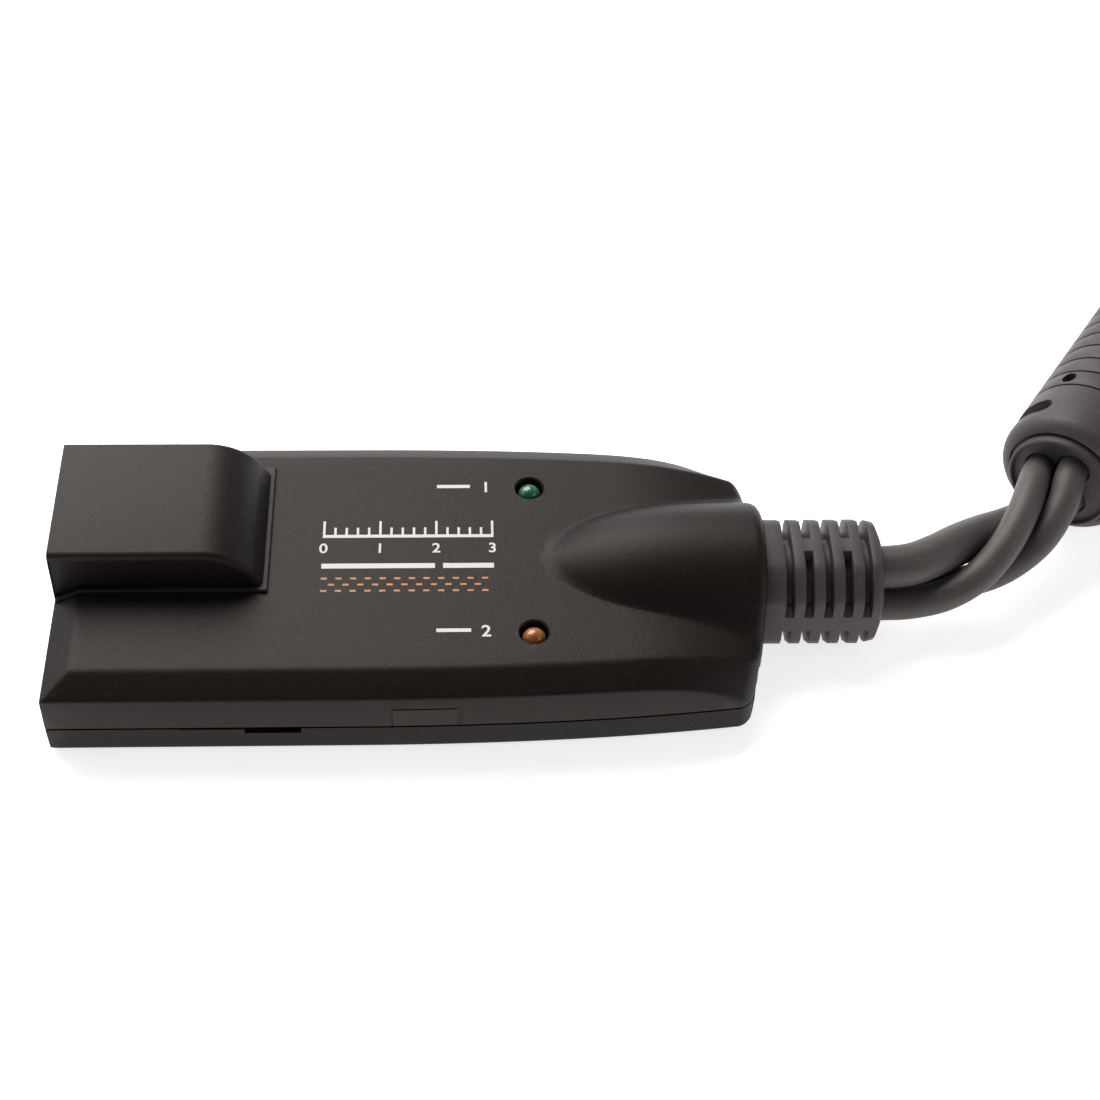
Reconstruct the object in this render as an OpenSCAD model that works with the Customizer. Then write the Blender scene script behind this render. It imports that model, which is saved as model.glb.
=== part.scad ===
// Adapter pod for one computer: a black casing with a network socket under a raised hood at
// one end, two lamps on top, and three twisted grey leads that leave through a slotted boot,
// pass one ferrite and end in a video plug and two round keyboard and mouse plugs.
// X runs from the socket end to the lead end, Y across, Z up from the surface it stands on.

/* [Casing] */
// Length of the casing, socket face to the middle of the lead end
case_l = 87; // [82:0.5:92]
// Width of the casing at the parting line
case_w = 41.5; // [40:0.5:46]
// Height of the flat top
plate_h = 11.9; // [11.5:0.1:13]
// Height of the parting line between the two shells
part_z = 5; // [4.6:0.1:5.4]
// Height where the side walls meet the sloping border
bevel_z = 10.1; // [9.6:0.1:10.6]
// Width of the sloping border seen from above
bevel_w = 3.3; // [2.6:0.1:4]
// Wall thickness of both shells
wall_t = 1.6; // [1.3:0.1:1.9]
// Distance from the socket face at which the sides start to curve in
taper_x = 37; // [30:1:45]
// How far each side has come in at the lead end
taper_in = 2.5; // [1:0.1:4]
// How far the lead end bulges past its corners
bulge_l = 1.5; // [0.5:0.1:2.5]
// Radius of the two corners at the lead end
corner_r = 3; // [2:0.1:4]
// How far the top has fallen at the lead end, before its rounded nose
crown_fall = 2.4; // [1.5:0.1:2.8]
// Radius of the nose between the top and the end face
nose_r = 3; // [2:0.1:3.2]
// Distance from the socket face at which the top starts to fall
crown_x = 70; // [65:1:74]
// How far the bottom of the lower shell is drawn in
draft_in = 0.5; // [0.2:0.1:0.8]
// Chamfer along the bottom edge
foot_chamfer = 0.9; // [0.5:0.1:1.2]

/* [Hood over the socket] */
// Width of the hood
hood_w = 19.2; // [19:0.1:21]
// Height of the hood above the surface
hood_h = 18.1; // [18:0.1:19.5]
// Length of the hood along the casing
hood_l = 25.7; // [25:0.1:28]
// Distance of the hood's middle from the casing's middle
hood_y = 4.75; // [3:0.05:6]
// Radius with which the hood's top rolls down
hood_r = 7.9; // [7:0.1:8.5]
// Thickness of the hood's walls
hood_wall = 1.4; // [1.2:0.05:1.5]

/* [Lead tunnel] */
// Length of the raised tunnel that the leads leave through
tunnel_l = 26.9; // [24:0.1:30]
// Radius of the tunnel at the lead end
tunnel_r = 11.1; // [10.6:0.1:11.6]
// Height of the tunnel's axis
tunnel_z = 5.5; // [5.2:0.1:5.9]
// Width of the flared foot on each side of the tunnel at the lead end
flare_w = 2.4; // [1:0.1:3]
// Radius of the rounded lip at the tunnel's mouth
lip_r = 1.2; // [0.6:0.1:1.6]

/* [Lamps] */
// Diameter of a lamp
lamp_d = 3; // [2.8:0.1:3.2]
// Height of a lamp from its flange to the tip of its dome
lamp_h = 5.3; // [5:0.1:5.8]
// Distance of the lamps from the socket face
lamp_x = 58.4; // [54:0.1:60]
// Distance of each lamp from the casing's middle
lamp_y = 11.95; // [11:0.05:13]
// Radius of the hole round a lamp
lamp_hole_r = 2.1; // [2:0.05:2.4]

/* [Circuit board] */
// Thickness of the circuit board
board_t = 1.6; // [1.2:0.1:1.8]
// Room between the circuit board's end and the casing's inner end
board_gap = 4.1; // [3:0.1:6]
// Room between the circuit board's long edges and the side walls at their closest
board_side = 0.2; // [0.1:0.05:1]
// Height of the posts that carry the board above the casing's floor
post_h = 0.8; // [0.5:0.1:1]

/* [Network socket] */
// Width of the socket with its metal shield
jack_w = 15.9; // [15.5:0.1:16]
// Height of the socket with its metal shield
jack_h = 12.4; // [12.2:0.1:12.5]
// Depth of the socket
jack_l = 16; // [15:0.1:16.4]
// Width of the opening that takes the plug
port_w = 11.9; // [11.7:0.05:12.2]
// Height of the opening without the slot for the latch
port_h = 7; // [6.8:0.1:7.2]
// Depth of the opening
port_d = 14.2; // [13:0.1:14.4]
// Width of the slot for the plug's latch
latch_w = 6.3; // [6:0.1:6.6]
// Height of the slot for the plug's latch
latch_h = 1.9; // [1.5:0.1:2]
// Distance between two contacts
contact_pitch = 1.02; // [1:0.01:1.05]

/* [Strain relief boot] */
// Length of the boot outside the casing
boot_l = 15; // [14:0.5:17]
// Width of the boot
boot_w = 14.4; // [14:0.1:15]
// Height of the boot
boot_h = 13.8; // [13.5:0.1:14.1]
// Height of the boot's axis
boot_z = 7.2; // [7.1:0.1:7.3]
// Distance between two slots
slot_pitch = 2.43; // [2.3:0.01:2.5]
// Width of a slot
slot_w = 1.1; // [0.8:0.05:1.3]
// Length of the plain collar before the first slot
collar_l = 2.6; // [2:0.1:3]

/* [Ferrite] */
// Diameter of the moulded cover
ferrite_d = 18; // [17.5:0.1:19]
// Length of the moulded cover
ferrite_l = 38; // [36:0.5:40]
// Radius of the cover's ends
ferrite_edge = 2.6; // [2:0.1:2.7]
// Radius of the bore for the three leads
ferrite_bore = 5.5; // [5.4:0.05:5.8]
// Radius of the recess round the leads at each end
recess_r = 6.1; // [5.9:0.1:6.2]
// Depth of that recess
recess_d = 2; // [1:0.1:2.5]
// Distance between two grooves
groove_pitch = 2.07; // [2:0.01:2.1]
// Distance of the first groove from the end
groove_from = 9.7; // [9:0.1:10]
// Width and depth of a groove
groove_w = 0.45; // [0.3:0.05:0.6]

/* [Leads] */
// Diameter of the video lead
video_d = 5.5; // [5.2:0.1:5.6]
// Diameter of the keyboard lead and the mouse lead
round_d = 4.2; // [3.8:0.1:4.3]

/* [Video plug] */
// Width of the plug's flange and of the moulded body behind it
flange_w = 30.8; // [30.5:0.1:31.2]
// Height of the flange
flange_h = 12.5; // [12.2:0.1:12.8]
// Thickness of the flange
flange_t = 0.8; // [0.6:0.1:1]
// Distance between the two fixing screws
screw_spacing = 24.99; // [24.9:0.01:25.1]
// Diameter of the fixing screws' threads
screw_d = 2.84; // [2.8:0.01:2.85]
// Length of thread that stands out past the flange
screw_out = 5; // [4:0.1:5.5]
// Width of the metal shell at its wide side
dshell_w = 16.9; // [16.7:0.1:17]
// Height of the metal shell
dshell_h = 8.3; // [8.2:0.1:8.4]
// How far the metal shell stands out
dshell_l = 5.9; // [5.5:0.1:6.2]
// Height of the moulded body
hood_body_h = 15.5; // [15:0.1:16]
// Length of the moulded body behind the flange
hood_body_l = 28; // [26:0.5:30]

/* [Round plugs] */
// Outer diameter of a round plug's metal shell
din_d = 9; // [8.9:0.05:9.1]
// How far that shell stands out of the grip
din_l = 8; // [7.5:0.1:8.5]
// Diameter of the grip
grip_d = 13; // [12.5:0.1:13.5]
// Length of the grip without its relief
grip_l = 16; // [15:0.5:18]

/* [Hidden] */
$fn = 64;

// Overrun of every cut past the face that it opens
cut = 0.5;
// Gap between pieces that go together by hand
fit = 0.15;
// Gap round a shaft that turns
run_fit = 0.06;

// Places that follow from the driving dimensions
pod_l = case_l + boot_l;
board_x = wall_t + 0.4 * wall_t;
board_z = wall_t + post_h;
board_top = board_z + board_t;
board_l = case_l - nose_r - board_gap - board_x;
board_w = case_w - 2 * (wall_t + taper_in + draft_in + board_side);
jack_x = 0.2 * wall_t;
tunnel_from = case_l - tunnel_l;
inner_end = case_l - nose_r;
tunnel_tip_r = plate_h - tunnel_z;

// Puts a piece given from the socket face, on the casing's middle line, into the part's frame
module pod() {
    translate([-pod_l / 2, 0, 0]) children();
}

// Leads: points chosen by hand on the line that the twisted leads follow to the ferrite, then
// on each lead's own way to its plug
line_route = [[51, 0, 7.2], [55.2, 0.25, 7.15], [59.2, 1.15, 7.15], [63, 2.75, 7.25],
    [67, 5.25, 7.55], [71, 8.35, 8.1], [74.4, 11.85, 8.7], [77, 15.25, 9]];
video_route = [[103.4, 51.65, 5.4], [109, 58.51, 4.73], [115.1, 64.87, 3.48],
    [121.6, 70.85, 2.75], [128.5, 76.37, 2.75], [136.1, 80.95, 2.75], [144.7, 81.89, 2.75],
    [153.5, 80.93, 2.75], [162, 78.43, 2.75], [169.2, 73.49, 2.75], [173.7, 65.96, 2.75],
    [175, 57.25, 3.4], [175, 48.25, 5.3], [175, 40.75, 7.2], [175, 35.25, 7.75]];
keyboard_route = [[99.4, 53.85, 8.6], [104.6, 62.14, 6.66], [109.6, 70.54, 3.31],
    [115.5, 78.31, 2.1], [123.1, 84.36, 2.1], [132.2, 87.99, 2.1], [141.8, 89.64, 2.1],
    [151.5, 89.98, 2.1], [161.3, 89.17, 2.1], [170.8, 87.01, 2.1], [179.8, 83.33, 2.1],
    [188, 77.93, 2.1], [194.5, 70.7, 2.1], [198.6, 61.9, 2.1], [200, 52.25, 2.4],
    [200, 42.25, 4.2], [200, 34.25, 6], [200, 28.25, 6.5]];
mouse_route = [[104.2, 50.25, 11.2], [109, 53.85, 9.4], [114.2, 57.85, 6.9],
    [119.8, 61.65, 4.4], [125.6, 64.45, 2.6], [131.8, 65.25, 2.1], [138, 63.65, 2.1],
    [143.2, 59.85, 2.1], [146.8, 54.45, 2.1], [148.6, 48.05, 2.2], [149, 40.85, 3.2],
    [149, 33.25, 5], [149, 26.85, 6.3], [149, 21.25, 6.5]];
// Where the ferrite's near end lies, and the direction it points in
ferrite_at = line_route[7];
ferrite_turn = 55.5;
// How far the three leads turn about each other on the way, and where each one starts
lay_turn = -223.4;
video_start = 93;
keyboard_start = 224.5;
mouse_start = 321.5;

// Outline and heights of the casing at a distance x from the socket face
function side_in(x) = x < taper_x ? 0
    : taper_in * pow((x - taper_x) / (case_l - taper_x), 1.5);
function round_in(x, r) = x < case_l - r ? 0
    : r - sqrt(max(0, r * r - pow(x - case_l + r, 2)));
function half_w(x) = case_w / 2 - side_in(x) - round_in(x, corner_r);
bevel_fall_from = 0.63 * case_l;
function wall_top(x) = x < bevel_fall_from ? bevel_z
    : bevel_z - (bevel_z - part_z) * 0.96
        * pow((x - bevel_fall_from) / (case_l - bevel_fall_from), 4.5);
function top_z(x) = plate_h
    - (x < crown_x ? 0 : crown_fall * pow((x - crown_x) / (case_l - crown_x), 2))
    - round_in(x, nose_r);

// Moves a point of the casing back to follow the bulge of the lead end
function bulge_share(x) = x < tunnel_from ? 0 : pow((x - tunnel_from) / tunnel_l, 2);
end_half = case_w / 2 - taper_in;
function bent(x, y, z, bend) = [x - bend * bulge_share(x) * bulge_l * pow(y / end_half, 2), y, z];

// Solid over columns: at each station x a row of upper points and a row of lower points
module loft(xs, tops, bots, bend = 1) {
    m = len(tops[0]);
    n = len(xs);
    function at(i, k) = i * 2 * m + k;
    points = [for (i = [0:n - 1]) for (k = [0:2 * m - 1])
        let (p = k < m ? tops[i][k] : bots[i][k - m]) bent(xs[i], p[0], p[1], bend)];
    function quad(a, b, c, d) = [[a, b, c], [a, c, d]];
    function mirrored_quad(k, a, b, c, d) = 2 * k < m - 1 ? quad(b, c, d, a) : quad(a, b, c, d);
    steps = [for (i = [0:n - 2]) for (k = [0:m - 2]) each concat(
        mirrored_quad(k, at(i, k), at(i, k + 1), at(i + 1, k + 1), at(i + 1, k)),
        quad(at(i, m + k), at(i + 1, m + k), at(i + 1, m + k + 1), at(i, m + k + 1)))];
    sides = [for (i = [0:n - 2]) each concat(
        quad(at(i, 0), at(i + 1, 0), at(i + 1, m), at(i, m)),
        quad(at(i, m - 1), at(i, 2 * m - 1), at(i + 1, 2 * m - 1), at(i + 1, m - 1)))];
    ends = [for (k = [0:m - 2]) each concat(
        quad(at(0, k), at(0, m + k), at(0, m + k + 1), at(0, k + 1)),
        quad(at(n - 1, k), at(n - 1, k + 1), at(n - 1, m + k + 1), at(n - 1, m + k)))];
    polyhedron(points, concat(steps, sides, ends));
}

// Shares of the half width at which the flat top has its inner columns
column_shares = [-0.66, -0.33, 0, 0.33, 0.66];
// Shares of the way from the end of the straight sides to the lead end
station_shares = [0, 0.12, 0.24, 0.36, 0.48, 0.6, 0.68, 0.75, 0.81, 0.86, 0.9, 0.935, 0.96,
    0.98, 0.992, 1];
function stations(from, to) = [for (s = station_shares) from + s * (to - from)];

// Upper points of the casing with its wall taken off by t
function cap_row(x, t) = let (
        h = half_w(x) - t,
        b = h - bevel_w - 0.25 * t,
        z1 = max(part_z + 0.05 * part_z, wall_top(x) - 0.6 * t),
        z2 = max(z1 + 0.02 * z1, top_z(x) - t))
    concat([[-h, z1], [-b, z2]], [for (s = column_shares) [s * b, z2]], [[b, z2], [h, z1]]);
function flat_row(row, z) = [for (p = row) [p[0], z]];

// Casing above the parting line: straight part with mitred borders, then the curved end
module cap_solid() {
    w = case_w / 2;
    translate([0, -w, part_z]) cube([taper_x, case_w, bevel_z - part_z]);
    b = bevel_w;
    polyhedron(
        [[0, -w, bevel_z], [taper_x, -w, bevel_z], [taper_x, w, bevel_z],
         [0, w, bevel_z], [b, -w + b, plate_h], [taper_x, -w + b, plate_h],
         [taper_x, w - b, plate_h], [b, w - b, plate_h]],
        [[0, 1, 2, 3], [7, 6, 5, 4], [4, 5, 1, 0], [5, 6, 2, 1], [6, 7, 3, 2], [7, 4, 0, 3]]);
    xs = stations(taper_x, case_l);
    tops = [for (x = xs) cap_row(x, 0)];
    loft(xs, tops, [for (t = tops) flat_row(t, part_z)]);
}

module cap_cavity() {
    xs = stations(wall_t, inner_end);
    tops = [for (x = xs) cap_row(x, wall_t)];
    loft(xs, tops, [for (t = tops) flat_row(t, part_z - cut)]);
}

// Side outline of the hood with its wall taken off by t: flat top, rolled edge, steep foot
roll_x = hood_l - hood_r;
roll_z = hood_h - hood_r;
crease_angle = 33;
module hood_profile(t, from, low) {
    r = hood_r - t;
    crease = [roll_x + r * cos(crease_angle), roll_z + r * sin(crease_angle)];
    translate([from, low]) square([roll_x - from, hood_h - t - low]);
    intersection() {
        translate([roll_x, roll_z]) circle(r);
        translate([from, low]) square([hood_l - from, hood_h - low]);
    }
    polygon([[from, low], [hood_l - t, low], [hood_l - t, plate_h], crease, [from, crease[1]]]);
}

module hood_block(t, from, low) {
    w = hood_w - 2 * t;
    translate([0, hood_y + w / 2, 0]) rotate([90, 0, 0]) linear_extrude(w)
        hood_profile(t, from, low);
}

// Raised tunnel: arc over the leads, running out into the flat top through a hollow flare
tunnel_shares = [0.006, 0.03, 0.08, 0.16, 0.27, 0.4, 0.55, 0.7, 0.82, 0.91, 0.955, 0.98, 1];
tunnel_bend_share = 0.6;
arc_shares = [-0.86, -0.7, -0.54, -0.36, -0.18, 0, 0.18, 0.36, 0.54, 0.7, 0.86];
function along(x) = max(0, (x - tunnel_from) / tunnel_l);
function tunnel_rad(x) = tunnel_tip_r + (tunnel_r - tunnel_tip_r) * (1 - pow(1 - along(x), 3.6))
    - 0.6 * round_in(x, lip_r);
function flare(x) = flare_w * pow(along(x), 3);
function tunnel_row(x, t) = let (
        r = tunnel_rad(x) - t,
        base = top_z(x) - tunnel_z,
        low = asin(min(0.995, (base + 0.5 * flare(x)) / r)),
        foot = sqrt(max(0.01 * r, r * r - base * base)) + flare(x),
        arc = [for (q = arc_shares) let (b = low + (90 - low) * (1 - abs(q)))
            [sign(q) * r * cos(b), tunnel_z + r * sin(b)]],
        end = arc[len(arc) - 1],
        knee = [(foot + end[0]) / 2, (tunnel_z + base + end[1]) / 2 - 0.3 * flare(x)])
    concat([[-foot, tunnel_z + base], [-knee[0], knee[1]]], arc,
        [knee, [foot, tunnel_z + base]]);

module tunnel_block(t, from, to, low) {
    xs = [for (s = tunnel_shares) from + s * (to - from)];
    tops = [for (x = xs) tunnel_row(x, t)];
    loft(xs, tops, [for (i = [0:len(xs) - 1]) flat_row(tops[i], low)], tunnel_bend_share);
}

// Opening in the socket end for the shielded socket
port_y = hood_y;
port_z = board_top;
module jack_space(gap) {
    translate([-cut, port_y - jack_w / 2 - gap, port_z - gap])
        cube([2 * wall_t + cut, jack_w + 2 * gap, jack_h + 2 * gap]);
}

// Hole in the lead end for the boot's neck
neck_r = 0.72 * boot_w / 2;
module neck_hole() {
    translate([inner_end - 2 * wall_t, 0, boot_z]) rotate([0, 90, 0])
        cylinder(r = neck_r + fit, h = nose_r + 3 * wall_t + bulge_l);
}

// Snap tabs of the upper shell, one inside each side wall
tab_x = 0.47 * case_l;
tab_l = 0.088 * case_l;
tab_t = 0.75 * wall_t;
tab_low = 0.55 * part_z;
tab_y = case_w / 2 - wall_t - draft_in - fit;
module tabs() {
    for (m = [0, 1]) mirror([0, m, 0]) translate([tab_x, tab_y - tab_t, 0]) {
        translate([0, 0, tab_low]) cube([tab_l, tab_t, part_z - tab_low + 2 * fit]);
        translate([0, 0, part_z + fit])
            cube([tab_l, case_w / 2 - tab_y + tab_t - wall_t / 2, wall_t]);
    }
}

// Thin rib along the foot of the hood's near wall
rib_w = 0.3 * wall_t;
module hood_rib() {
    translate([bevel_w, hood_y - hood_w / 2 - rib_w, plate_h - rib_w])
        cube([roll_x - bevel_w, 2 * rib_w, 1.6 * rib_w]);
}

lamp_rim = 0.15 * lamp_hole_r;
module lamp_hole() {
    translate([0, 0, plate_h - 2 * wall_t]) cylinder(r = lamp_hole_r, h = 3 * wall_t);
    translate([0, 0, plate_h - lamp_rim])
        cylinder(r1 = lamp_hole_r, r2 = lamp_hole_r + 2 * lamp_rim, h = 2 * lamp_rim);
}

// Where the room under the tunnel starts
tunnel_room_x = tunnel_from + 0.28 * tunnel_l;
module upper_shell() {
    color("#3b3836") pod() union() {
        difference() {
            union() {
                cap_solid();
                hood_block(0, 0, part_z);
                hood_rib();
                tunnel_block(0, tunnel_from, case_l, part_z + wall_t / 2);
            }
            cap_cavity();
            hood_block(hood_wall, wall_t, part_z - cut);
            tunnel_block(wall_t, tunnel_room_x, inner_end - wall_t / 4, part_z + wall_t);
            jack_space(fit);
            neck_hole();
            for (s = [-1, 1]) translate([lamp_x, s * lamp_y, 0]) lamp_hole();
        }
        tabs();
    }
}

// Tray under the parting line, with its sides drawn in towards the foot
function tray_top(x, t, z) = let (h = half_w(x) - t)
    concat([[-h, z], [-0.9 * h, z]], [for (s = column_shares) [s * h, z]], [[0.9 * h, z], [h, z]]);
function tray_bot(x, t, low, c) = let (
        h = half_w(x) - t - draft_in,
        z = max(low, low + c - min(x, case_l - x)),
        edge = max(z, low + c))
    concat([[-h, edge], [-h + c, z]], [for (s = column_shares) [s * h, z]],
        [[h - c, z], [h, edge]]);
module tray(t, from, to, low, high, c) {
    xs = concat([from, from + foot_chamfer], stations(taper_x, to));
    loft(xs, [for (x = xs) tray_top(x, t, high)], [for (x = xs) tray_bot(x, t, low, c)]);
}

notch_x = 0.271 * case_l;
notch_l = 0.078 * case_l;
notch_z = 0.26 * part_z;
seam_l = 0.09 * case_l;
post_r = 1.5 * wall_t;
post_xs = [0.24 * case_l, 0.84 * case_l];
post_y = 0.38 * board_w;
module lower_shell() {
    color("#33302e") pod() {
        difference() {
            tray(0, 0, case_l, 0, part_z, foot_chamfer);
            tray(wall_t, wall_t, inner_end, wall_t, part_z + cut, foot_chamfer / 2);
            jack_space(fit);
            neck_hole();
            translate([notch_x, -case_w / 2 - cut, part_z - notch_z])
                cube([notch_l, cut + 0.6 * wall_t, notch_z + cut]);
            translate([notch_x - seam_l, -case_w / 2 - cut, part_z - notch_z / 3])
                cube([seam_l + cut, cut + wall_t / 4, notch_z + cut]);
        }
        for (x = post_xs, s = [-1, 1]) translate([x, s * post_y, 0.5 * wall_t])
            cylinder(r = post_r, h = board_z - 0.5 * wall_t);
    }
}

// Circuit board and what is soldered to it
module on_board(x, y, high) {
    translate([x, y, board_top + high]) children();
}
module block(l, w, h) {
    translate([-l / 2, -w / 2, 0]) cube([l, w, h]);
}

module circuit_board() {
    color("#2e5b3a") pod() translate([board_x, -board_w / 2, board_z])
        cube([board_l, board_w, board_t]);
}

// Shielded socket: housing with the plug's opening, sheet shield round it, eight contacts
shield_t = 0.02 * jack_l;
port_low = port_z + 0.1 * jack_h;
module port_cut() {
    translate([jack_x - cut, port_y - latch_w / 2, port_low])
        cube([port_d + cut, latch_w, latch_h + cut]);
    translate([jack_x - cut, port_y - port_w / 2, port_low + latch_h])
        cube([port_d + cut, port_w, port_h]);
}
module jack_housing() {
    color("#1d1c1b") pod() difference() {
        translate([jack_x, port_y - jack_w / 2 + shield_t, port_z])
            cube([jack_l - shield_t, jack_w - 2 * shield_t, jack_h - shield_t]);
        port_cut();
    }
}
module jack_shield() {
    color("#b9bcbe") pod() difference() {
        translate([jack_x, port_y - jack_w / 2, port_z]) cube([jack_l, jack_w, jack_h]);
        translate([jack_x - cut, port_y - jack_w / 2 + shield_t, port_z - cut])
            cube([jack_l + cut - shield_t, jack_w - 2 * shield_t, jack_h + cut - shield_t]);
    }
}
contact_w = 0.35 * contact_pitch;
contact_dip = 0.33 * port_h;
module jack_contacts() {
    top = port_low + latch_h + port_h;
    color("#c8a24a") pod() for (k = [0:7])
        translate([jack_x, port_y + (k - 3.5) * contact_pitch + contact_w / 2, top])
            rotate([90, 0, 0]) linear_extrude(contact_w) polygon([
                [0.12 * port_d, 0], [0.2 * port_d, 0], [0.66 * port_d, -contact_dip],
                [0.62 * port_d, -1.1 * contact_dip]]);
}

// Lamps: dome, barrel and flange, with two leads down to the board
flange_lamp_r = 0.63 * lamp_d;
flange_lamp_t = 0.2 * lamp_h;
lead_r = 0.08 * lamp_d;
lead_pitch = 0.42 * lamp_d;
module lamp(s) {
    pod() translate([lamp_x, s * lamp_y, plate_h - lamp_h]) {
        cylinder(r = flange_lamp_r, h = flange_lamp_t);
        cylinder(d = lamp_d, h = lamp_h - lamp_d / 2);
        translate([0, 0, lamp_h - lamp_d / 2]) sphere(d = lamp_d);
    }
}
module online_lamp() {
    color("#3f9a5c") lamp(1);
}
module power_lamp() {
    color("#d08a3c") lamp(-1);
}
module lamp_leads() {
    color("#c9ccce") pod() for (s = [-1, 1], q = [-1, 1])
        translate([lamp_x + q * lead_pitch, s * lamp_y, board_top])
            cylinder(r = lead_r, h = plate_h - lamp_h - board_top);
}

// Flat chip with a row of leads on each listed side
chip_t = 0.9 * board_t;
lead_t = 0.2 * board_t;
module chip(l, w, sides) {
    block(l, w, chip_t);
    for (a = sides) rotate(a) {
        reach = a % 180 == 0 ? l / 2 : w / 2;
        row = a % 180 == 0 ? w : l;
        for (q = [-0.375:0.125:0.375]) translate([reach, q * row - lead_t / 2, 0])
            cube([chip_t / 2, lead_t, lead_t]);
    }
}
controller_l = 10;
video_chip_l = 12;
memory_l = 5;
module controller_chip() {
    color("#26262a") pod() on_board(0.36 * case_l, -0.24 * board_w, 0)
        chip(controller_l, controller_l, [0, 90, 180, 270]);
}
module video_chip() {
    color("#26262a") pod() on_board(0.58 * case_l, 0, 0)
        chip(video_chip_l, video_chip_l, [0, 90, 180, 270]);
}
module memory_chip() {
    color("#26262a") pod() on_board(0.36 * case_l, 0.26 * board_w, 0)
        chip(memory_l, 0.8 * memory_l, [90, 270]);
}
crystal_l = 7;
module crystal_can() {
    color("#c4c7c9") pod() on_board(0.51 * case_l, -0.32 * board_w, 0) {
        block(crystal_l, 0.42 * crystal_l, 0.45 * crystal_l);
        for (q = [-1, 1]) translate([q * crystal_l / 2, 0, 0])
            cylinder(d = 0.42 * crystal_l, h = 0.45 * crystal_l);
    }
}
capacitor_d = 5;
module capacitors() {
    color("#8f9498") pod() {
        for (q = [-1, 1]) on_board(0.25 * case_l, q * 0.36 * board_w, 0)
            cylinder(d = capacitor_d, h = 1.1 * capacitor_d);
        on_board(0.8 * case_l, 0.36 * board_w, 0) cylinder(d = capacitor_d, h = 1.1 * capacitor_d);
    }
}
chip_part_l = 1.6;
header_l = 5;
small_x = board_x + board_l - fit - header_l - 2 * chip_part_l;
module small_parts() {
    color("#b59a6a") pod() {
        for (k = [0:5]) on_board(0.43 * case_l + 1.6 * k * chip_part_l, 0.42 * board_w, 0)
            block(chip_part_l, chip_part_l / 2, chip_part_l / 2);
        for (k = [0:4]) on_board(small_x, (k - 4) * 1.6 * chip_part_l - chip_part_l, 0)
            block(chip_part_l / 2, chip_part_l, chip_part_l / 2);
    }
}

// Header at the board's end, with the leads' wires between it and the boot
header_w = 12;
header_h = 5;
wire_r = 0.5;
wire_rows = [-1, 1];
flange_x = inner_end - 0.9 * wall_t;
header_end = board_x + board_l - fit;
module wire_header() {
    color("#e6e2d6") pod() translate([header_end - header_l, -header_w / 2, board_top])
        cube([header_l, header_w, header_h]);
}
module inner_wires() {
    color("#b04a3c") pod() for (k = [0:4], q = wire_rows)
        translate([header_end, (k - 2) * 3.4 * wire_r, board_top + header_h / 2 + q * 2 * wire_r])
            rotate([0, 90, 0]) cylinder(r = wire_r, h = flange_x - header_end, $fn = 24);
}

// Slotted boot: eight-sided with soft corners, five slots with bridges left across them
boot_neck_x = case_l;
boot_flat_share = 0.42;
boot_edge = 0.13 * boot_w;
boot_core_r = 0.36 * boot_w;
bridge_h = 0.19 * boot_h;
bridge_w = 0.15 * boot_w;
slot_count = 5;
module boot_outline() {
    a = boot_w / 2;
    b = boot_h / 2;
    c = 1 - boot_flat_share;
    k = 0.3 * c;
    quarter = [[1, 1 - c], [1 - 0.3 * k, 1 - c + k], [1 - c + k, 1 - 0.3 * k], [1 - c, 1]];
    polygon(concat(
        [for (q = quarter) [a * q[0], b * q[1]]],
        [for (i = [3:-1:0]) [-a * quarter[i][0], b * quarter[i][1]]],
        [for (q = quarter) [-a * q[0], -b * q[1]]],
        [for (i = [3:-1:0]) [a * quarter[i][0], -b * quarter[i][1]]]));
}
module along_x() {
    rotate([90, 0, 90]) children();
}
flange_h_share = 0.82;
module strain_relief_boot() {
    color("#57534f") pod() translate([0, 0, boot_z]) difference() {
        union() {
            intersection() {
                translate([boot_neck_x, 0, 0]) along_x() linear_extrude(boot_l) boot_outline();
                translate([boot_neck_x, 0, 0]) rotate([0, 90, 0]) rotate_extrude() polygon([
                    [0, 0], [boot_w, 0], [boot_w, boot_l - boot_edge],
                    [0.54 * boot_w, boot_l - boot_edge], [0.52 * boot_w, boot_l - boot_edge / 3],
                    [0.42 * boot_w, boot_l], [0, boot_l]]);
            }
            translate([flange_x, 0, 0]) rotate([0, 90, 0])
                cylinder(r = neck_r, h = boot_neck_x - flange_x + cut);
            intersection() {
                translate([flange_x, 0, 0]) rotate([0, 90, 0])
                    cylinder(r = flange_h_share * boot_w / 2, h = 0.65 * wall_t);
                translate([flange_x - cut, -boot_w, wall_t + fit - boot_z])
                    cube([2 * wall_t, 2 * boot_w, 2 * boot_h]);
            }
        }
        for (k = [0:slot_count - 1]) translate([boot_neck_x + collar_l + k * slot_pitch, 0, 0])
            boot_slot(k % 2);
    }
}
module boot_slot(bridged) {
    difference() {
        translate([0, -boot_w, -boot_h]) cube([slot_w, 2 * boot_w, 2 * boot_h]);
        translate([-cut, 0, 0]) rotate([0, 90, 0]) cylinder(r = boot_core_r, h = slot_w + 2 * cut);
        translate([-cut, -boot_w, -bridge_h / 2])
            cube([slot_w + 2 * cut, 2 * boot_w, bridge_h]);
        if (bridged) translate([-cut, -bridge_w / 2, -boot_h])
            cube([slot_w + 2 * cut, bridge_w, 2 * boot_h]);
    }
}

// Ferrite: grooved cover moulded over a ring core, with the three leads through its bore
core_r = 0.86 * ferrite_d / 2;
core_gap = 0.16 * ferrite_l;
window_at = 0.125 * ferrite_l;
window_w = 1.7;
dimple_at = groove_from + (groove_pitch + groove_w) / 2;
dimple_d = 0.92 * (groove_pitch - groove_w);
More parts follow.
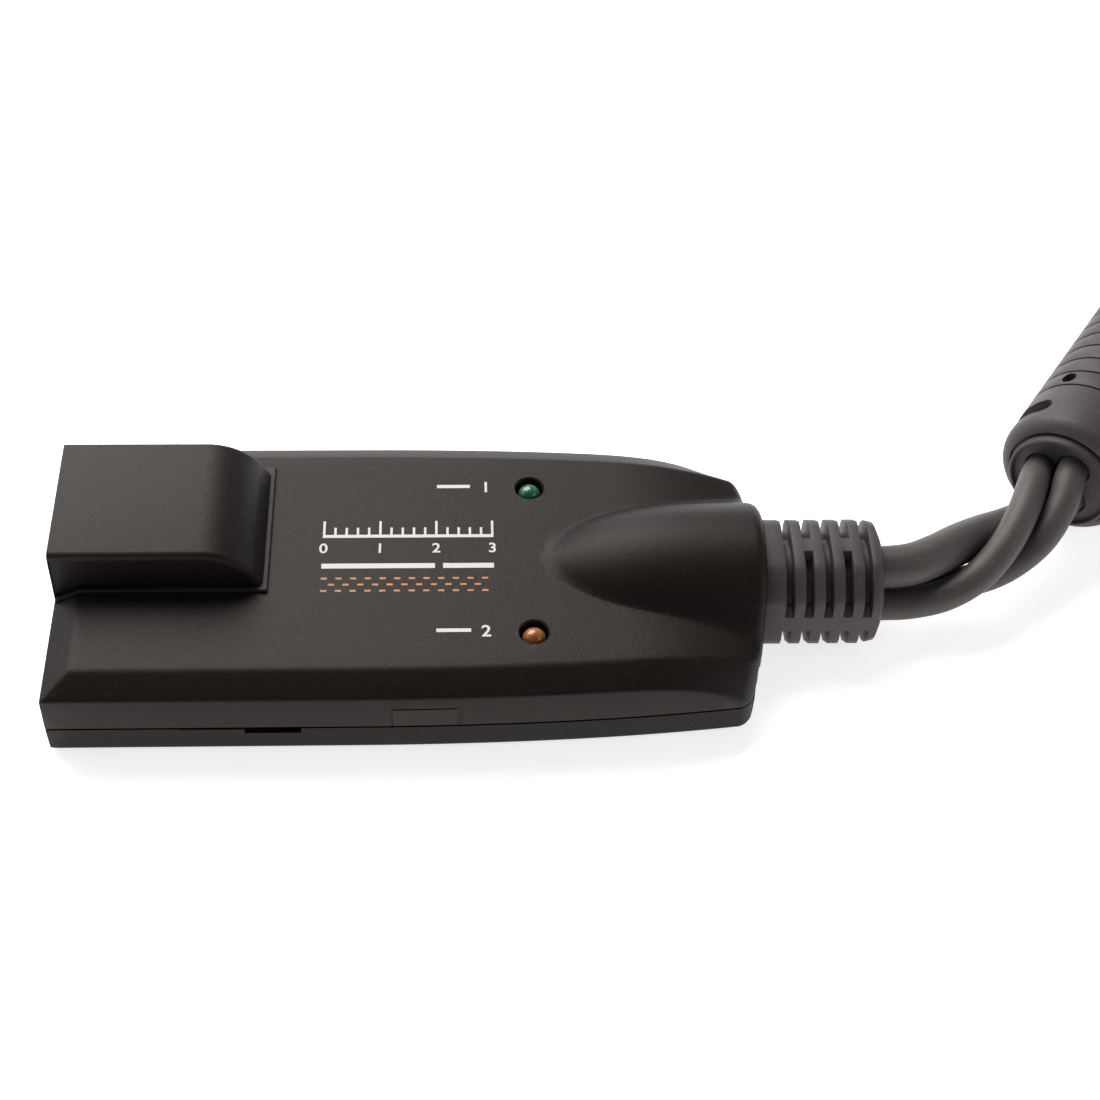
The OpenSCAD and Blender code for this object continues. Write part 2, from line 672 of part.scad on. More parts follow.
// Turned from the cover's left side up over its top
window_angles = [20, 62];
dimple_angle = 55.5;
mark_depth = 0.1 * ferrite_d / 2;
groove_count = 10;
module on_ferrite() {
    translate(ferrite_at) rotate(ferrite_turn) children();
}
module ring_x(points) {
    rotate([0, 90, 0]) rotate_extrude() polygon(points);
}
function arc_points(cx, cy, r, from, to) =
    [for (k = [0:6]) let (a = from + (to - from) * k / 6) [cx + r * cos(a), cy + r * sin(a)]];
module radial(at, angle) {
    translate([at, 0, 0]) rotate([angle - 90, 0, 0]) children();
}
module ferrite_cover() {
    r = ferrite_d / 2;
    e = ferrite_edge;
    color("#5f5b58") on_ferrite() difference() {
        ring_x(concat(
            [[ferrite_bore, recess_d], [recess_r, recess_d], [recess_r, 0]],
            arc_points(r - e, e, e, -90, 0),
            arc_points(r - e, ferrite_l - e, e, 0, 90),
            [[recess_r, ferrite_l], [recess_r, ferrite_l - recess_d],
             [ferrite_bore, ferrite_l - recess_d]]));
        ring_x([[ferrite_bore - cut, core_gap], [core_r, core_gap],
            [core_r, ferrite_l - core_gap], [ferrite_bore - cut, ferrite_l - core_gap]]);
        for (k = [0:groove_count - 1]) {
            g = groove_from + k * groove_pitch;
            ring_x([[r - groove_w, g], [r + cut, g], [r + cut, g + groove_w],
                [r - groove_w, g + groove_w]]);
        }
        for (a = window_angles) radial(window_at, a)
            translate([0, 0, r - mark_depth]) cylinder(d = window_w, h = mark_depth + cut);
        translate([window_at - window_w / 2, 0, 0]) rotate([window_angles[0] - 90, 0, 0])
            rotate([0, 90, 0]) rotate([0, 0, -90])
            rotate_extrude(angle = window_angles[1] - window_angles[0])
            translate([r - mark_depth, 0]) square([mark_depth + cut, window_w]);
        radial(dimple_at, dimple_angle) translate([0, 0, r - mark_depth])
            cylinder(d = dimple_d, h = mark_depth + cut);
    }
}
module ferrite_core() {
    color("#2b2a2c") on_ferrite() ring_x([[ferrite_bore, core_gap], [core_r, core_gap],
        [core_r, ferrite_l - core_gap], [ferrite_bore, ferrite_l - core_gap]]);
}

// Leads: each one a tube along its points, with a flat ring at every point
function unit(v) = v / norm(v);
function left_of(q) = unit(cross([0, 0, 1], q));
function path_dir(path, i) = unit(path[min(i + 1, len(path) - 1)] - path[max(i - 1, 0)]);
module tube(path, d, sides) {
    n = len(path);
    points = [for (i = [0:n - 1]) let (
            q = i == 0 ? [1, 0, 0] : i == n - 1 ? [0, -1, 0] : path_dir(path, i),
            l = left_of(q),
            u = cross(q, l))
        for (k = [0:sides - 1]) let (a = 360 * (k + 0.5) / sides)
            path[i] + d / 2 * (cos(a) * l + sin(a) * u)];
    walls = [for (i = [0:n - 2]) for (k = [0:sides - 1]) let (
            a = i * sides + k,
            b = i * sides + (k + 1) % sides)
        each [[a, b, b + sides], [a, b + sides, a + sides]]];
    polyhedron(points, concat(walls, [[for (k = [sides - 1:-1:0]) k]],
        [[for (k = [0:sides - 1]) (n - 1) * sides + k]]));
}
ferrite_dir = [cos(ferrite_turn), sin(ferrite_turn), 0];
ferrite_shares = [0.24, 0.76, 1];
line = concat(line_route, [for (s = ferrite_shares) ferrite_at + s * ferrite_l * ferrite_dir]);
turn_shares = [0, 0.034, 0.1325, 0.274, 0.437, 0.613, 0.783, 0.923, 1, 1, 1];
function strand(off, start) = [for (i = [0:len(line) - 1]) let (
        q = i == 0 ? [1, 0, 0] : i < 7 ? path_dir(line, i) : ferrite_dir,
        l = left_of(q),
        a = start + lay_turn * turn_shares[i])
    line[i] + off * (cos(a) * l + sin(a) * cross(q, l))];
video_off = 0.48 * video_d;
round_off = 0.72 * round_d;
lead_slack = 0.025 * round_d;
module video_lead() {
    color("#4d4946") tube(concat(strand(video_off, video_start), video_route),
        video_d - lead_slack, 10);
}
module keyboard_lead() {
    color("#4d4946") tube(concat(strand(round_off, keyboard_start), keyboard_route),
        round_d - lead_slack, 10);
}
module mouse_lead() {
    color("#4d4946") tube(concat(strand(round_off, mouse_start), mouse_route),
        round_d - lead_slack, 10);
}

// Video plug: each plug points along -Y from the last point of its lead's route
module at_plug(route) {
    translate(route[len(route) - 1]) rotate(-90) children();
}
relief_l = 14;
relief_r = 3.4;
ear_l = 0.32 * hood_body_l;
ear_x = relief_l + hood_body_l - ear_l;
face_x = relief_l + hood_body_l;
body_half = 8.7;
shaft_r = 1.6;
knob_r = 3.4;
knob_l = 12;
shell_t = 0.4;
edge_c = 1.4;
module relief(l, r0, r1, rings) {
    difference() {
        ring_x([[0, 0], [r0, 0], [r1, l], [0, l]]);
        for (k = [1:rings]) difference() {
            x = l * k / (rings + 1);
            w = l / (rings + 1) / 3;
            ring_x([[0.82 * r0, x], [2 * r1, x], [2 * r1, x + w], [0.82 * r0, x + w]]);
            translate([x - w, -r1 * 2, -0.3 * r0]) cube([3 * w, 4 * r1, 0.6 * r0]);
        }
    }
}
module video_plug_body() {
    back = relief_l + 0.12 * hood_body_l;
    color("#5f5b58") at_plug(video_route) difference() {
        union() {
            relief(relief_l + cut, relief_r, 1.4 * relief_r, 4);
            intersection() {
                translate([0, 0, -hood_body_h / 2]) linear_extrude(hood_body_h) polygon([
                    [relief_l, -0.72 * body_half], [back, -body_half], [ear_x, -body_half],
                    [ear_x, -flange_w / 2], [face_x, -flange_w / 2], [face_x, flange_w / 2],
                    [ear_x, flange_w / 2], [ear_x, body_half], [back, body_half],
                    [relief_l, 0.72 * body_half]]);
                translate([0, flange_w, 0]) rotate([90, 0, 0]) linear_extrude(2 * flange_w)
                    polygon([[relief_l, -hood_body_h / 2 + edge_c],
                        [relief_l + edge_c, -hood_body_h / 2],
                        [face_x - edge_c / 2, -hood_body_h / 2],
                        [face_x, -hood_body_h / 2 + edge_c / 2],
                        [face_x, hood_body_h / 2 - edge_c / 2],
                        [face_x - edge_c / 2, hood_body_h / 2],
                        [relief_l + edge_c, hood_body_h / 2],
                        [relief_l, hood_body_h / 2 - edge_c]]);
            }
        }
        for (s = [-1, 1]) translate([ear_x - cut, s * screw_spacing / 2, 0]) rotate([0, 90, 0])
            cylinder(r = shaft_r + run_fit, h = ear_l + 2 * cut);
        for (s = [-1, 1], k = [0:4]) translate([back + (k + 1) * 0.1 * hood_body_l,
                -0.6 * body_half, s * hood_body_h / 2 - shell_t])
            cube([0.04 * hood_body_l, 1.2 * body_half, 2 * shell_t]);
    }
}
corner_c = 2.6;
dshell_slant = 1.3;
module d_outline(inset) {
    a = dshell_w / 2 - corner_c;
    b = dshell_h / 2 - corner_c;
    hull() for (s = [-1, 1]) {
        translate([s * a, b]) circle(corner_c - inset, $fn = 32);
        translate([s * (a - dshell_slant), -b]) circle(corner_c - inset, $fn = 32);
    }
}
module video_plug_shell() {
    color("#b9bcbe") at_plug(video_route) difference() {
        union() {
            translate([face_x, -flange_w / 2, -flange_h / 2]) cube([flange_t, flange_w, flange_h]);
            translate([face_x, 0, 0]) along_x() linear_extrude(flange_t + dshell_l) d_outline(0);
        }
        translate([face_x - cut, 0, 0]) along_x()
            linear_extrude(flange_t + dshell_l + 2 * cut) d_outline(shell_t);
        for (s = [-1, 1]) translate([face_x - cut, s * screw_spacing / 2, 0]) rotate([0, 90, 0])
            cylinder(r = shaft_r + run_fit, h = flange_t + 2 * cut);
    }
}
insert_t = 1.8;
module video_plug_insert() {
    color("#2f5fa8") at_plug(video_route) translate([face_x, 0, 0]) along_x()
        linear_extrude(insert_t) d_outline(shell_t + run_fit);
}
pin_r = 0.4;
pin_pitch = 2.29;
row_pitch = 1.98;
pin_l = 3.9;
module video_plug_pins() {
    color("#c8a24a") at_plug(video_route) for (row = [-1:1], k = [-2:2])
        translate([face_x + insert_t, (k - (row == 0 ? 0.25 : -0.25)) * pin_pitch, row * row_pitch])
            rotate([0, 90, 0]) cylinder(r = pin_r, h = pin_l, $fn = 16);
}
knob_teeth = 18;
tooth_h = 0.25;
module thumbscrew(s) {
    color("#57534f") at_plug(video_route) translate([0, s * screw_spacing / 2, 0]) {
        difference() {
            translate([ear_x - fit * 2 - knob_l, 0, 0]) along_x() linear_extrude(knob_l)
                polygon([for (k = [0:2 * knob_teeth - 1]) let (
                        a = 180 * k / knob_teeth, r = knob_r - (k % 2) * tooth_h)
                    [r * cos(a), r * sin(a)]]);
            translate([ear_x - fit * 2 - knob_l - cut, -knob_r, -tooth_h])
                cube([cut + knob_r / 3, 2 * knob_r, 2 * tooth_h]);
        }
        translate([ear_x - fit * 2 - cut, 0, 0]) rotate([0, 90, 0])
            cylinder(r = shaft_r, h = ear_l + flange_t + 2 * fit + cut);
        translate([ear_x, 0, 0]) rotate([0, 90, 0])
            cylinder(r = screw_d / 2, h = ear_l + flange_t + screw_out);
    }
}
module inner_thumbscrew() {
    thumbscrew(-1);
}
module outer_thumbscrew() {
    thumbscrew(1);
}

// Round plugs: ringed relief, grip with a flat and an arrow, thin shell, keyed insert, six pins
grip_relief_l = 9;
grip_relief_r = 2.9;
grip_edge = 0.12 * grip_d;
din_t = 0.35;
din_face = 2.5;
din_key_w = 2.2;
module grip() {
    r = grip_d / 2;
    end = grip_relief_l + grip_l;
    color("#5f5b58") difference() {
        union() {
            relief(grip_relief_l + cut, grip_relief_r, 1.4 * grip_relief_r, 3);
            ring_x([[0, grip_relief_l], [r - grip_edge, grip_relief_l],
                [r, grip_relief_l + grip_edge], [r, end - grip_edge / 2],
                [r - grip_edge / 2, end], [0, end]]);
        }
        translate([grip_relief_l + 1.4 * grip_edge, -r, r - grip_edge / 2])
            cube([grip_l - 2.8 * grip_edge, 2 * r, r]);
    }
}
module din_shell() {
    color("#b9bcbe") translate([grip_relief_l + grip_l, 0, 0]) rotate([0, 90, 0]) difference() {
        cylinder(d = din_d, h = din_l);
        translate([0, 0, -cut]) cylinder(d = din_d - 2 * din_t, h = din_l + 2 * cut);
    }
}
module din_insert() {
    translate([grip_relief_l + grip_l, 0, 0]) {
        rotate([0, 90, 0]) cylinder(r = din_d / 2 - din_t - run_fit, h = din_face);
        translate([din_face - cut, -din_key_w / 2, -0.62 * din_key_w])
            cube([din_l - din_face, din_key_w, din_key_w / 2]);
    }
}
module din_pins() {
    ring = 0.37 * din_d;
    translate([grip_relief_l + grip_l + din_face, 0, 0])
        for (a = [-75, -45, 45, 75, 135, 225]) rotate([a, 0, 0]) translate([0, 0, ring])
            rotate([0, 90, 0]) cylinder(r = pin_r, h = pin_l, $fn = 16);
}
module keyboard_plug_grip() {
    at_plug(keyboard_route) grip();
}
module keyboard_plug_shell() {
    at_plug(keyboard_route) din_shell();
}
module keyboard_plug_insert() {
    color("#7a4f9a") at_plug(keyboard_route) din_insert();
}
module mouse_plug_grip() {
    at_plug(mouse_route) grip();
}
module mouse_plug_shell() {
    at_plug(mouse_route) din_shell();
}
module mouse_plug_insert() {
    color("#3f9a5c") at_plug(mouse_route) din_insert();
}
module round_plug_pins() {
    color("#c8a24a") {
        at_plug(keyboard_route) din_pins();
        at_plug(mouse_route) din_pins();
    }
}

upper_shell();
lower_shell();
circuit_board();
jack_housing();
jack_shield();
jack_contacts();
online_lamp();
power_lamp();
lamp_leads();
controller_chip();
video_chip();
memory_chip();
crystal_can();
capacitors();
small_parts();
wire_header();
inner_wires();
strain_relief_boot();
ferrite_cover();
ferrite_core();
video_lead();
keyboard_lead();
mouse_lead();
video_plug_body();
video_plug_shell();
video_plug_insert();
video_plug_pins();
inner_thumbscrew();
outer_thumbscrew();
keyboard_plug_grip();
keyboard_plug_shell();
keyboard_plug_insert();
mouse_plug_grip();
mouse_plug_shell();
mouse_plug_insert();
round_plug_pins();
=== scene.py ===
"""Looks of the adapter pod, its twisted leads, ferrite and plugs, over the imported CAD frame."""
import bmesh
import bpy
from math import asin, cos, pi, radians, sin, sqrt
from mathutils import Matrix, Vector


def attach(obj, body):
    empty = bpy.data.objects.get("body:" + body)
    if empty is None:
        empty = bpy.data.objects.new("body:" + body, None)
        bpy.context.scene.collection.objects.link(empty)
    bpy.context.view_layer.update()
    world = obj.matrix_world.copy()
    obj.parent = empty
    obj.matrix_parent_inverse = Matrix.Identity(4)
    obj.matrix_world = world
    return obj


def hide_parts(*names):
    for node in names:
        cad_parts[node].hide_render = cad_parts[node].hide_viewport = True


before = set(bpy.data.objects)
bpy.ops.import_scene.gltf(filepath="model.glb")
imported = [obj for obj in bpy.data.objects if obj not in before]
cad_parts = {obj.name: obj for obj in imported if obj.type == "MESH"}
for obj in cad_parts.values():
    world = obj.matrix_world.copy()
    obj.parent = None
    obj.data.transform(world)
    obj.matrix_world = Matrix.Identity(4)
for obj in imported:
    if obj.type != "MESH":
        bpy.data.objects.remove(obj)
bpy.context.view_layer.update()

# One millimetre in metres. The part's X runs from POD_X at the socket face to the boot's end
MM = 0.001
POD_X = -51.0
WHOLE_TURN = 2 * pi
UP = Vector((0, 0, 1))
# Cutters reach this far past what they cut, or a few times as far
OVERRUN = 1.0


def placed(name, data):
    """New object in the scene."""
    thing = bpy.data.objects.new(name, data)
    bpy.context.scene.collection.objects.link(thing)
    return thing


# Camera of the photograph: place in mm, angles in radians, focal length in the photo's pixels,
# sensor in mm, and the nearest and farthest distance it sees, in metres
CAMERA_PLACE = (-1.352, -179.803, 213.496)
CAMERA_YAW = 0.061
CAMERA_PITCH = 0.838
CAMERA_ROLL = 0.040
FOCAL_PIXELS = 2176.0
PHOTO_PIXELS = 1100.0
SENSOR_WIDTH = 36.0
NEAREST = 0.01
FARTHEST = 10.0


def photo_camera():
    """Camera at the photograph's place, turned by its yaw, pitch and roll."""
    data = bpy.data.cameras.new("photo_camera")
    data.sensor_width = SENSOR_WIDTH
    data.lens = FOCAL_PIXELS / PHOTO_PIXELS * SENSOR_WIDTH
    data.clip_start = NEAREST
    data.clip_end = FARTHEST
    camera = placed("photo_camera", data)
    flat = cos(CAMERA_PITCH)
    ahead = Vector((sin(CAMERA_YAW) * flat, cos(CAMERA_YAW) * flat, -sin(CAMERA_PITCH)))
    level = Vector((cos(CAMERA_YAW), -sin(CAMERA_YAW), 0.0))
    above = level.cross(ahead)
    cos_roll, sin_roll = cos(CAMERA_ROLL), sin(CAMERA_ROLL)
    right = cos_roll * level + sin_roll * above
    up = cos_roll * above - sin_roll * level
    turn = Matrix((right, up, -ahead)).transposed().to_4x4()
    camera.matrix_world = Matrix.Translation(Vector(CAMERA_PLACE) * MM) @ turn
    bpy.context.scene.camera = camera


photo_camera()


# Materials
def linear(code):
    """Linear colour of an sRGB hex code."""
    parts = [int(code[i:i + 2], 16) / 255 for i in (0, 2, 4)]
    return [p / 12.92 if p <= 0.04045 else ((p + 0.055) / 1.055) ** 2.4 for p in parts] + [1.0]


def add_node(tree, kind, inputs=None, **settings):
    """Adds a node, sets what it is given, and links every input that is an output socket."""
    node = tree.nodes.new(kind)
    for name, value in settings.items():
        setattr(node, name, value)
    for name, value in (inputs or {}).items():
        if isinstance(value, bpy.types.NodeSocket):
            tree.links.new(value, node.inputs[name])
        else:
            node.inputs[name].default_value = value
    return node


def new_material(name):
    """Material with an empty node tree."""
    material = bpy.data.materials.new(name)
    material.use_nodes = True
    material.node_tree.nodes.clear()
    return material, material.node_tree


# Warm tint of the light that moulded plastic throws back
WARM_SHEEN = (1.0, 0.93, 0.88, 1.0)
# Moulded plastic: soft patches of tone and small specks, in mm, and the noise where specks show
PATCH_MM = 9
SPECK_MM = 0.45
SPECK_FROM = 0.64
SPECK_FULL = 0.8
# Pointiness of an edge where the painted highlight starts to show, and where it shows in full
HIGHLIGHT_FROM = 0.53
HIGHLIGHT_FULL = 0.62
# How far the grain takes the roughness down and up
GRAIN_SMOOTHER = 0.05
GRAIN_ROUGHER = 0.06


def moulded(name, dark, light, rough, grain_mm, relief_mm, specular=0.5, edge_highlight=None, specks=None):
    """Plastic or rubber: two close tones in soft patches, a fine grain in its surface, and a
    painted highlight on sharp edges where one is given.
    """
    material, tree = new_material(name)
    place = add_node(tree, "ShaderNodeTexCoord").outputs["Object"]
    patches = add_node(tree, "ShaderNodeTexNoise",
                       {"Vector": place, "Scale": 1 / (PATCH_MM * MM), "Detail": 3.0})
    tone = add_node(tree, "ShaderNodeMix",
                    {"Factor": patches.outputs["Fac"], "A": linear(dark), "B": linear(light)},
                    data_type="RGBA")
    colour = tone.outputs["Result"]
    if specks:
        dots = add_node(tree, "ShaderNodeTexNoise",
                        {"Vector": place, "Scale": 1 / (SPECK_MM * MM), "Detail": 1.0})
        share = add_node(tree, "ShaderNodeMapRange",
                         {"Value": dots.outputs["Fac"], "From Min": SPECK_FROM,
                          "From Max": SPECK_FULL})
        dotted = add_node(tree, "ShaderNodeMix",
                          {"Factor": share.outputs["Result"], "A": colour, "B": linear(specks)},
                          data_type="RGBA")
        colour = dotted.outputs["Result"]
    grain = add_node(tree, "ShaderNodeTexNoise",
                     {"Vector": place, "Scale": 1 / (grain_mm * MM), "Detail": 2.0})
    roughness = add_node(tree, "ShaderNodeMapRange",
                         {"Value": grain.outputs["Fac"], "To Min": rough - GRAIN_SMOOTHER,
                          "To Max": rough + GRAIN_ROUGHER})
    bump = add_node(tree, "ShaderNodeBump",
                    {"Height": grain.outputs["Fac"], "Strength": 1.0, "Distance": relief_mm * MM})
    # Painted highlight: a lighter colour on sharp edges, standing in for the light they catch
    if edge_highlight:
        edge = add_node(tree, "ShaderNodeNewGeometry").outputs["Pointiness"]
        highlight_share = add_node(tree, "ShaderNodeMapRange",
                        {"Value": edge, "From Min": HIGHLIGHT_FROM, "From Max": HIGHLIGHT_FULL})
        highlighted = add_node(tree, "ShaderNodeMix",
                          {"Factor": highlight_share.outputs["Result"], "A": colour, "B": linear(edge_highlight)},
                          data_type="RGBA")
        colour = highlighted.outputs["Result"]
    shader = add_node(tree, "ShaderNodeBsdfPrincipled",
                      {"Base Color": colour, "Roughness": roughness.outputs["Result"],
                       "Normal": bump.outputs["Normal"], "Specular IOR Level": specular,
                       "Specular Tint": WARM_SHEEN})
    add_node(tree, "ShaderNodeOutputMaterial", {"Surface": shader.outputs["BSDF"]})
    return material


# Plated metal: its drawing lines are coarser than real ones, so that they show. They run long in
# Y, lie this deep in mm, and darken the tone to this share
LINE_STRETCH = 0.08
LINE_DEEP_MM = 0.01
LINE_DARK = 0.82
LINE_SMOOTHER = 0.06
LINE_ROUGHER = 0.08


def plated(name, code, rough, brush_mm):
    """Plated metal with fine drawing lines along one way."""
    material, tree = new_material(name)
    place = add_node(tree, "ShaderNodeTexCoord").outputs["Object"]
    drawn = add_node(tree, "ShaderNodeMapping",
                     {"Vector": place, "Scale": (1.0, LINE_STRETCH, 1.0)})
    lines = add_node(tree, "ShaderNodeTexNoise",
                     {"Vector": drawn.outputs["Vector"], "Scale": 1 / (brush_mm * MM),
                      "Detail": 4.0})
    darker = [c * LINE_DARK for c in linear(code)[:3]] + [1.0]
    tone = add_node(tree, "ShaderNodeMix",
                    {"Factor": lines.outputs["Fac"], "A": darker, "B": linear(code)},
                    data_type="RGBA")
    roughness = add_node(tree, "ShaderNodeMapRange",
                         {"Value": lines.outputs["Fac"], "To Min": rough - LINE_SMOOTHER,
                          "To Max": rough + LINE_ROUGHER})
    bump = add_node(tree, "ShaderNodeBump",
                    {"Height": lines.outputs["Fac"], "Strength": 0.4,
                     "Distance": LINE_DEEP_MM * MM})
    shader = add_node(tree, "ShaderNodeBsdfPrincipled",
                      {"Base Color": tone.outputs["Result"], "Metallic": 1.0,
                       "Roughness": roughness.outputs["Result"],
                       "Normal": bump.outputs["Normal"]})
    add_node(tree, "ShaderNodeOutputMaterial", {"Surface": shader.outputs["BSDF"]})
    return material


# Cast epoxy: faint clouds in its colour, in mm, and how deep light gets into it
CLOUD_MM = 1.2
LIGHT_DEEP_MM = 1.0


def tinted_epoxy(name, deep, rim):
    """Cast tinted epoxy of a lamp: deeper colour face on, a painted sheen that pales it towards its
    rim, glossy skin.
    """
    material, tree = new_material(name)
    place = add_node(tree, "ShaderNodeTexCoord").outputs["Object"]
    cloud = add_node(tree, "ShaderNodeTexNoise",
                     {"Vector": place, "Scale": 1 / (CLOUD_MM * MM), "Detail": 1.0})
    # Painted sheen: the colour pales where the surface turns away from view, towards the rim
    facing = add_node(tree, "ShaderNodeLayerWeight", {"Blend": 0.45}).outputs["Facing"]
    painted_rim_sheen = add_node(tree, "ShaderNodeMath", {0: facing, 1: cloud.outputs["Fac"]},
                     operation="MULTIPLY")
    tone = add_node(tree, "ShaderNodeMix",
                    {"Factor": painted_rim_sheen.outputs[0], "A": linear(deep), "B": linear(rim)},
                    data_type="RGBA")
    shader = add_node(tree, "ShaderNodeBsdfPrincipled",
                      {"Base Color": tone.outputs["Result"], "Roughness": 0.16, "IOR": 1.54,
                       "Coat Weight": 0.4, "Subsurface Weight": 0.25,
                       "Subsurface Scale": LIGHT_DEEP_MM * MM})
    add_node(tree, "ShaderNodeOutputMaterial", {"Surface": shader.outputs["BSDF"]})
    return material


# Spark-textured black ABS: warm dark grey that shows lighter where soft light grazes its grain,
# with a painted highlight on its sharp edges
BLACK_ABS = moulded("spark_textured_abs", "15110f", "1b1715", 0.45, 0.28, 0.035, edge_highlight="302b29",
                    specular=0.18, specks="2a2624")
# The tray is the same plastic from another tool, a little smoother; its colour is painted darker,
# as shade on its walls
SHADED_TRAY_ABS = moulded("tray_abs", "120e0d", "181412", 0.5, 0.28, 0.025, specular=0.15,
                   specks="24201e")
# Moulded soft PVC of the boot, the ferrite's cover and the grips: dull, slightly waxy grey
GREY_PVC = moulded("moulded_grey_pvc", "3f3a3a", "494546", 0.5, 0.3, 0.015, specular=0.32,
                   specks="585250")
# Extruded PVC jacket of the leads: a shade lighter than the moulded PVC, and a little glossier
LEAD_PVC = moulded("extruded_grey_pvc", "474342", "514d4c", 0.48, 0.4, 0.02, specular=0.36,
                   specks="605b59")
# Moulded black PBT of the network socket: dark, with an even half gloss
SOCKET_PBT = moulded("socket_pbt", "171615", "1f1e1d", 0.4, 0.3, 0.01)
# Screened green solder mask of the board: smooth and a little glossy
SOLDER_MASK = moulded("solder_mask", "1f4a2c", "2a5c38", 0.3, 0.4, 0.01)
# Transfer moulded epoxy of the chips: matt and nearly black
CHIP_EPOXY = moulded("chip_epoxy", "1d1d20", "26262a", 0.5, 0.2, 0.01)
# Moulded natural nylon of the wire header: creamy white
HEADER_NYLON = moulded("header_nylon", "dcd7c8", "e8e4d8", 0.45, 0.3, 0.01)
# Extruded red PVC round the inner wires
WIRE_RED = moulded("wire_pvc", "9a3a30", "b04a3c", 0.4, 0.3, 0.01)
# Fired ceramic of the small parts: dull tan
CERAMIC = moulded("fired_ceramic", "a88c5c", "b99e6e", 0.6, 0.15, 0.01)
# Pressed and sintered ferrite of the core: rough charcoal
FERRITE_BLACK = moulded("sintered_ferrite", "252427", "303033", 0.6, 0.2, 0.02)
# Moulded coloured PBT of the plugs' inserts: clear even colours that tell the plugs apart
INSERT_BLUE = moulded("blue_pbt", "244f92", "2f5fa8", 0.4, 0.3, 0.01)
INSERT_PURPLE = moulded("purple_pbt", "6b428a", "7d529c", 0.4, 0.3, 0.01)
INSERT_GREEN = moulded("green_pbt", "2f8a4c", "3f9a5c", 0.4, 0.3, 0.01)
# Pad printed ink, white and orange: flat and dull, with no grain to see
WHITE_INK = moulded("white_ink", "d2d0cc", "e2e0dc", 0.55, 0.2, 0.004)
ORANGE_INK = moulded("orange_ink", "c37a50", "d08a60", 0.55, 0.2, 0.004)
# Drawn steel, tinned: pale grey, with soft lines that blur what it mirrors
TINNED_STEEL = plated("tinned_steel", "c4c6c8", 0.3, 0.12)
# Gold plated contacts and pins: warm yellow and a little smoother
GOLD_PLATE = plated("gold_plate", "d6b060", 0.25, 0.1)
# Cast tinted epoxy of the lamps: deep colour, a painted pale sheen at the rim and a sharp highlight
GREEN_EPOXY = tinted_epoxy("green_epoxy", "1f5a38", "6fae86")
AMBER_EPOXY = tinted_epoxy("amber_epoxy", "8f5526", "d69a5c")


# Mesh tools
# Points closer than this, in mm, are one
MERGE_MM = 0.002


def piece_from(name, mesh, material, body="adapter", smooth_deg=32):
    """Object of the part from a mesh in metres, riding on a body."""
    mesh.validate()
    mesh.materials.clear()
    mesh.materials.append(material)
    for face in mesh.polygons:
        face.material_index = 0
    mesh.shade_smooth()
    mesh.set_sharp_from_angle(angle=radians(smooth_deg))
    piece = placed(name, mesh)
    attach(piece, body)
    return piece


def baked(piece, name):
    """Plain mesh of a piece with its modifiers applied; the piece is deleted."""
    graph = bpy.context.evaluated_depsgraph_get()
    mesh = bpy.data.meshes.new_from_object(piece.evaluated_get(graph))
    mesh.name = name
    bpy.data.objects.remove(piece)
    return mesh


def joined(base, others, operation):
    """Boolean of a mesh with others, one after another."""
    solid = placed("solid", base)
    helpers = [placed("helper", mesh) for mesh in others]
    for helper in helpers:
        cut = solid.modifiers.new("cut", "BOOLEAN")
        cut.operation = operation
        cut.solver = "EXACT"
        cut.object = helper
    mesh = baked(solid, base.name)
    for helper in helpers:
        bpy.data.objects.remove(helper)
    return mesh


def mesh_from(bm, name):
    """Mesh from a bmesh, which is freed."""
    mesh = bpy.data.meshes.new(name)
    bm.to_mesh(mesh)
    bm.free()
    return mesh


def mesh_of(name, rows, closed=True):
    """Mesh over loops of points in the part's frame, in millimetres. A face closes each end,
    unless the last loop comes back to the first."""
    bm = bmesh.new()
    loops = [[bm.verts.new(Vector(p) * MM) for p in row] for row in rows]
    count = len(rows[0])
    for low, high in zip(loops, loops[1:]):
        for i in range(count):
            j = (i + 1) % count
            bm.faces.new((low[i], low[j], high[j], high[i]))
    if closed:
        bm.faces.new(loops[0][::-1])
        bm.faces.new(loops[-1])
    bmesh.ops.remove_doubles(bm, verts=bm.verts, dist=MERGE_MM * MM)
    bmesh.ops.recalc_face_normals(bm, faces=bm.faces)
    return mesh_from(bm, name)


def even(low, high, count):
    """Values from low to high in so many equal steps."""
    return [low + (high - low) * k / count for k in range(count + 1)]


def ring(centre, side, other, radius, sides):
    """Circle of points in the plane of two directions."""
    return [centre + radius * (cos(WHOLE_TURN * k / sides) * side
                               + sin(WHOLE_TURN * k / sides) * other)
            for k in range(sides)]


def box_mesh(low, high):
    """Box between two opposite corners in millimetres."""
    (x0, y0, z0), (x1, y1, z1) = low, high
    return mesh_of("box", [[(x, y0, z0), (x, y1, z0), (x, y1, z1), (x, y0, z1)]
                           for x in (x0, x1)])


def rod_mesh(start, end, radius, sides=64):
    """Cylinder between two points in millimetres."""
    start, end = Vector(start), Vector(end)
    along = (end - start).normalized()
    side = along.orthogonal().normalized()
    other = along.cross(side)
    return mesh_of("rod", [ring(place, side, other, radius, sides) for place in (start, end)])


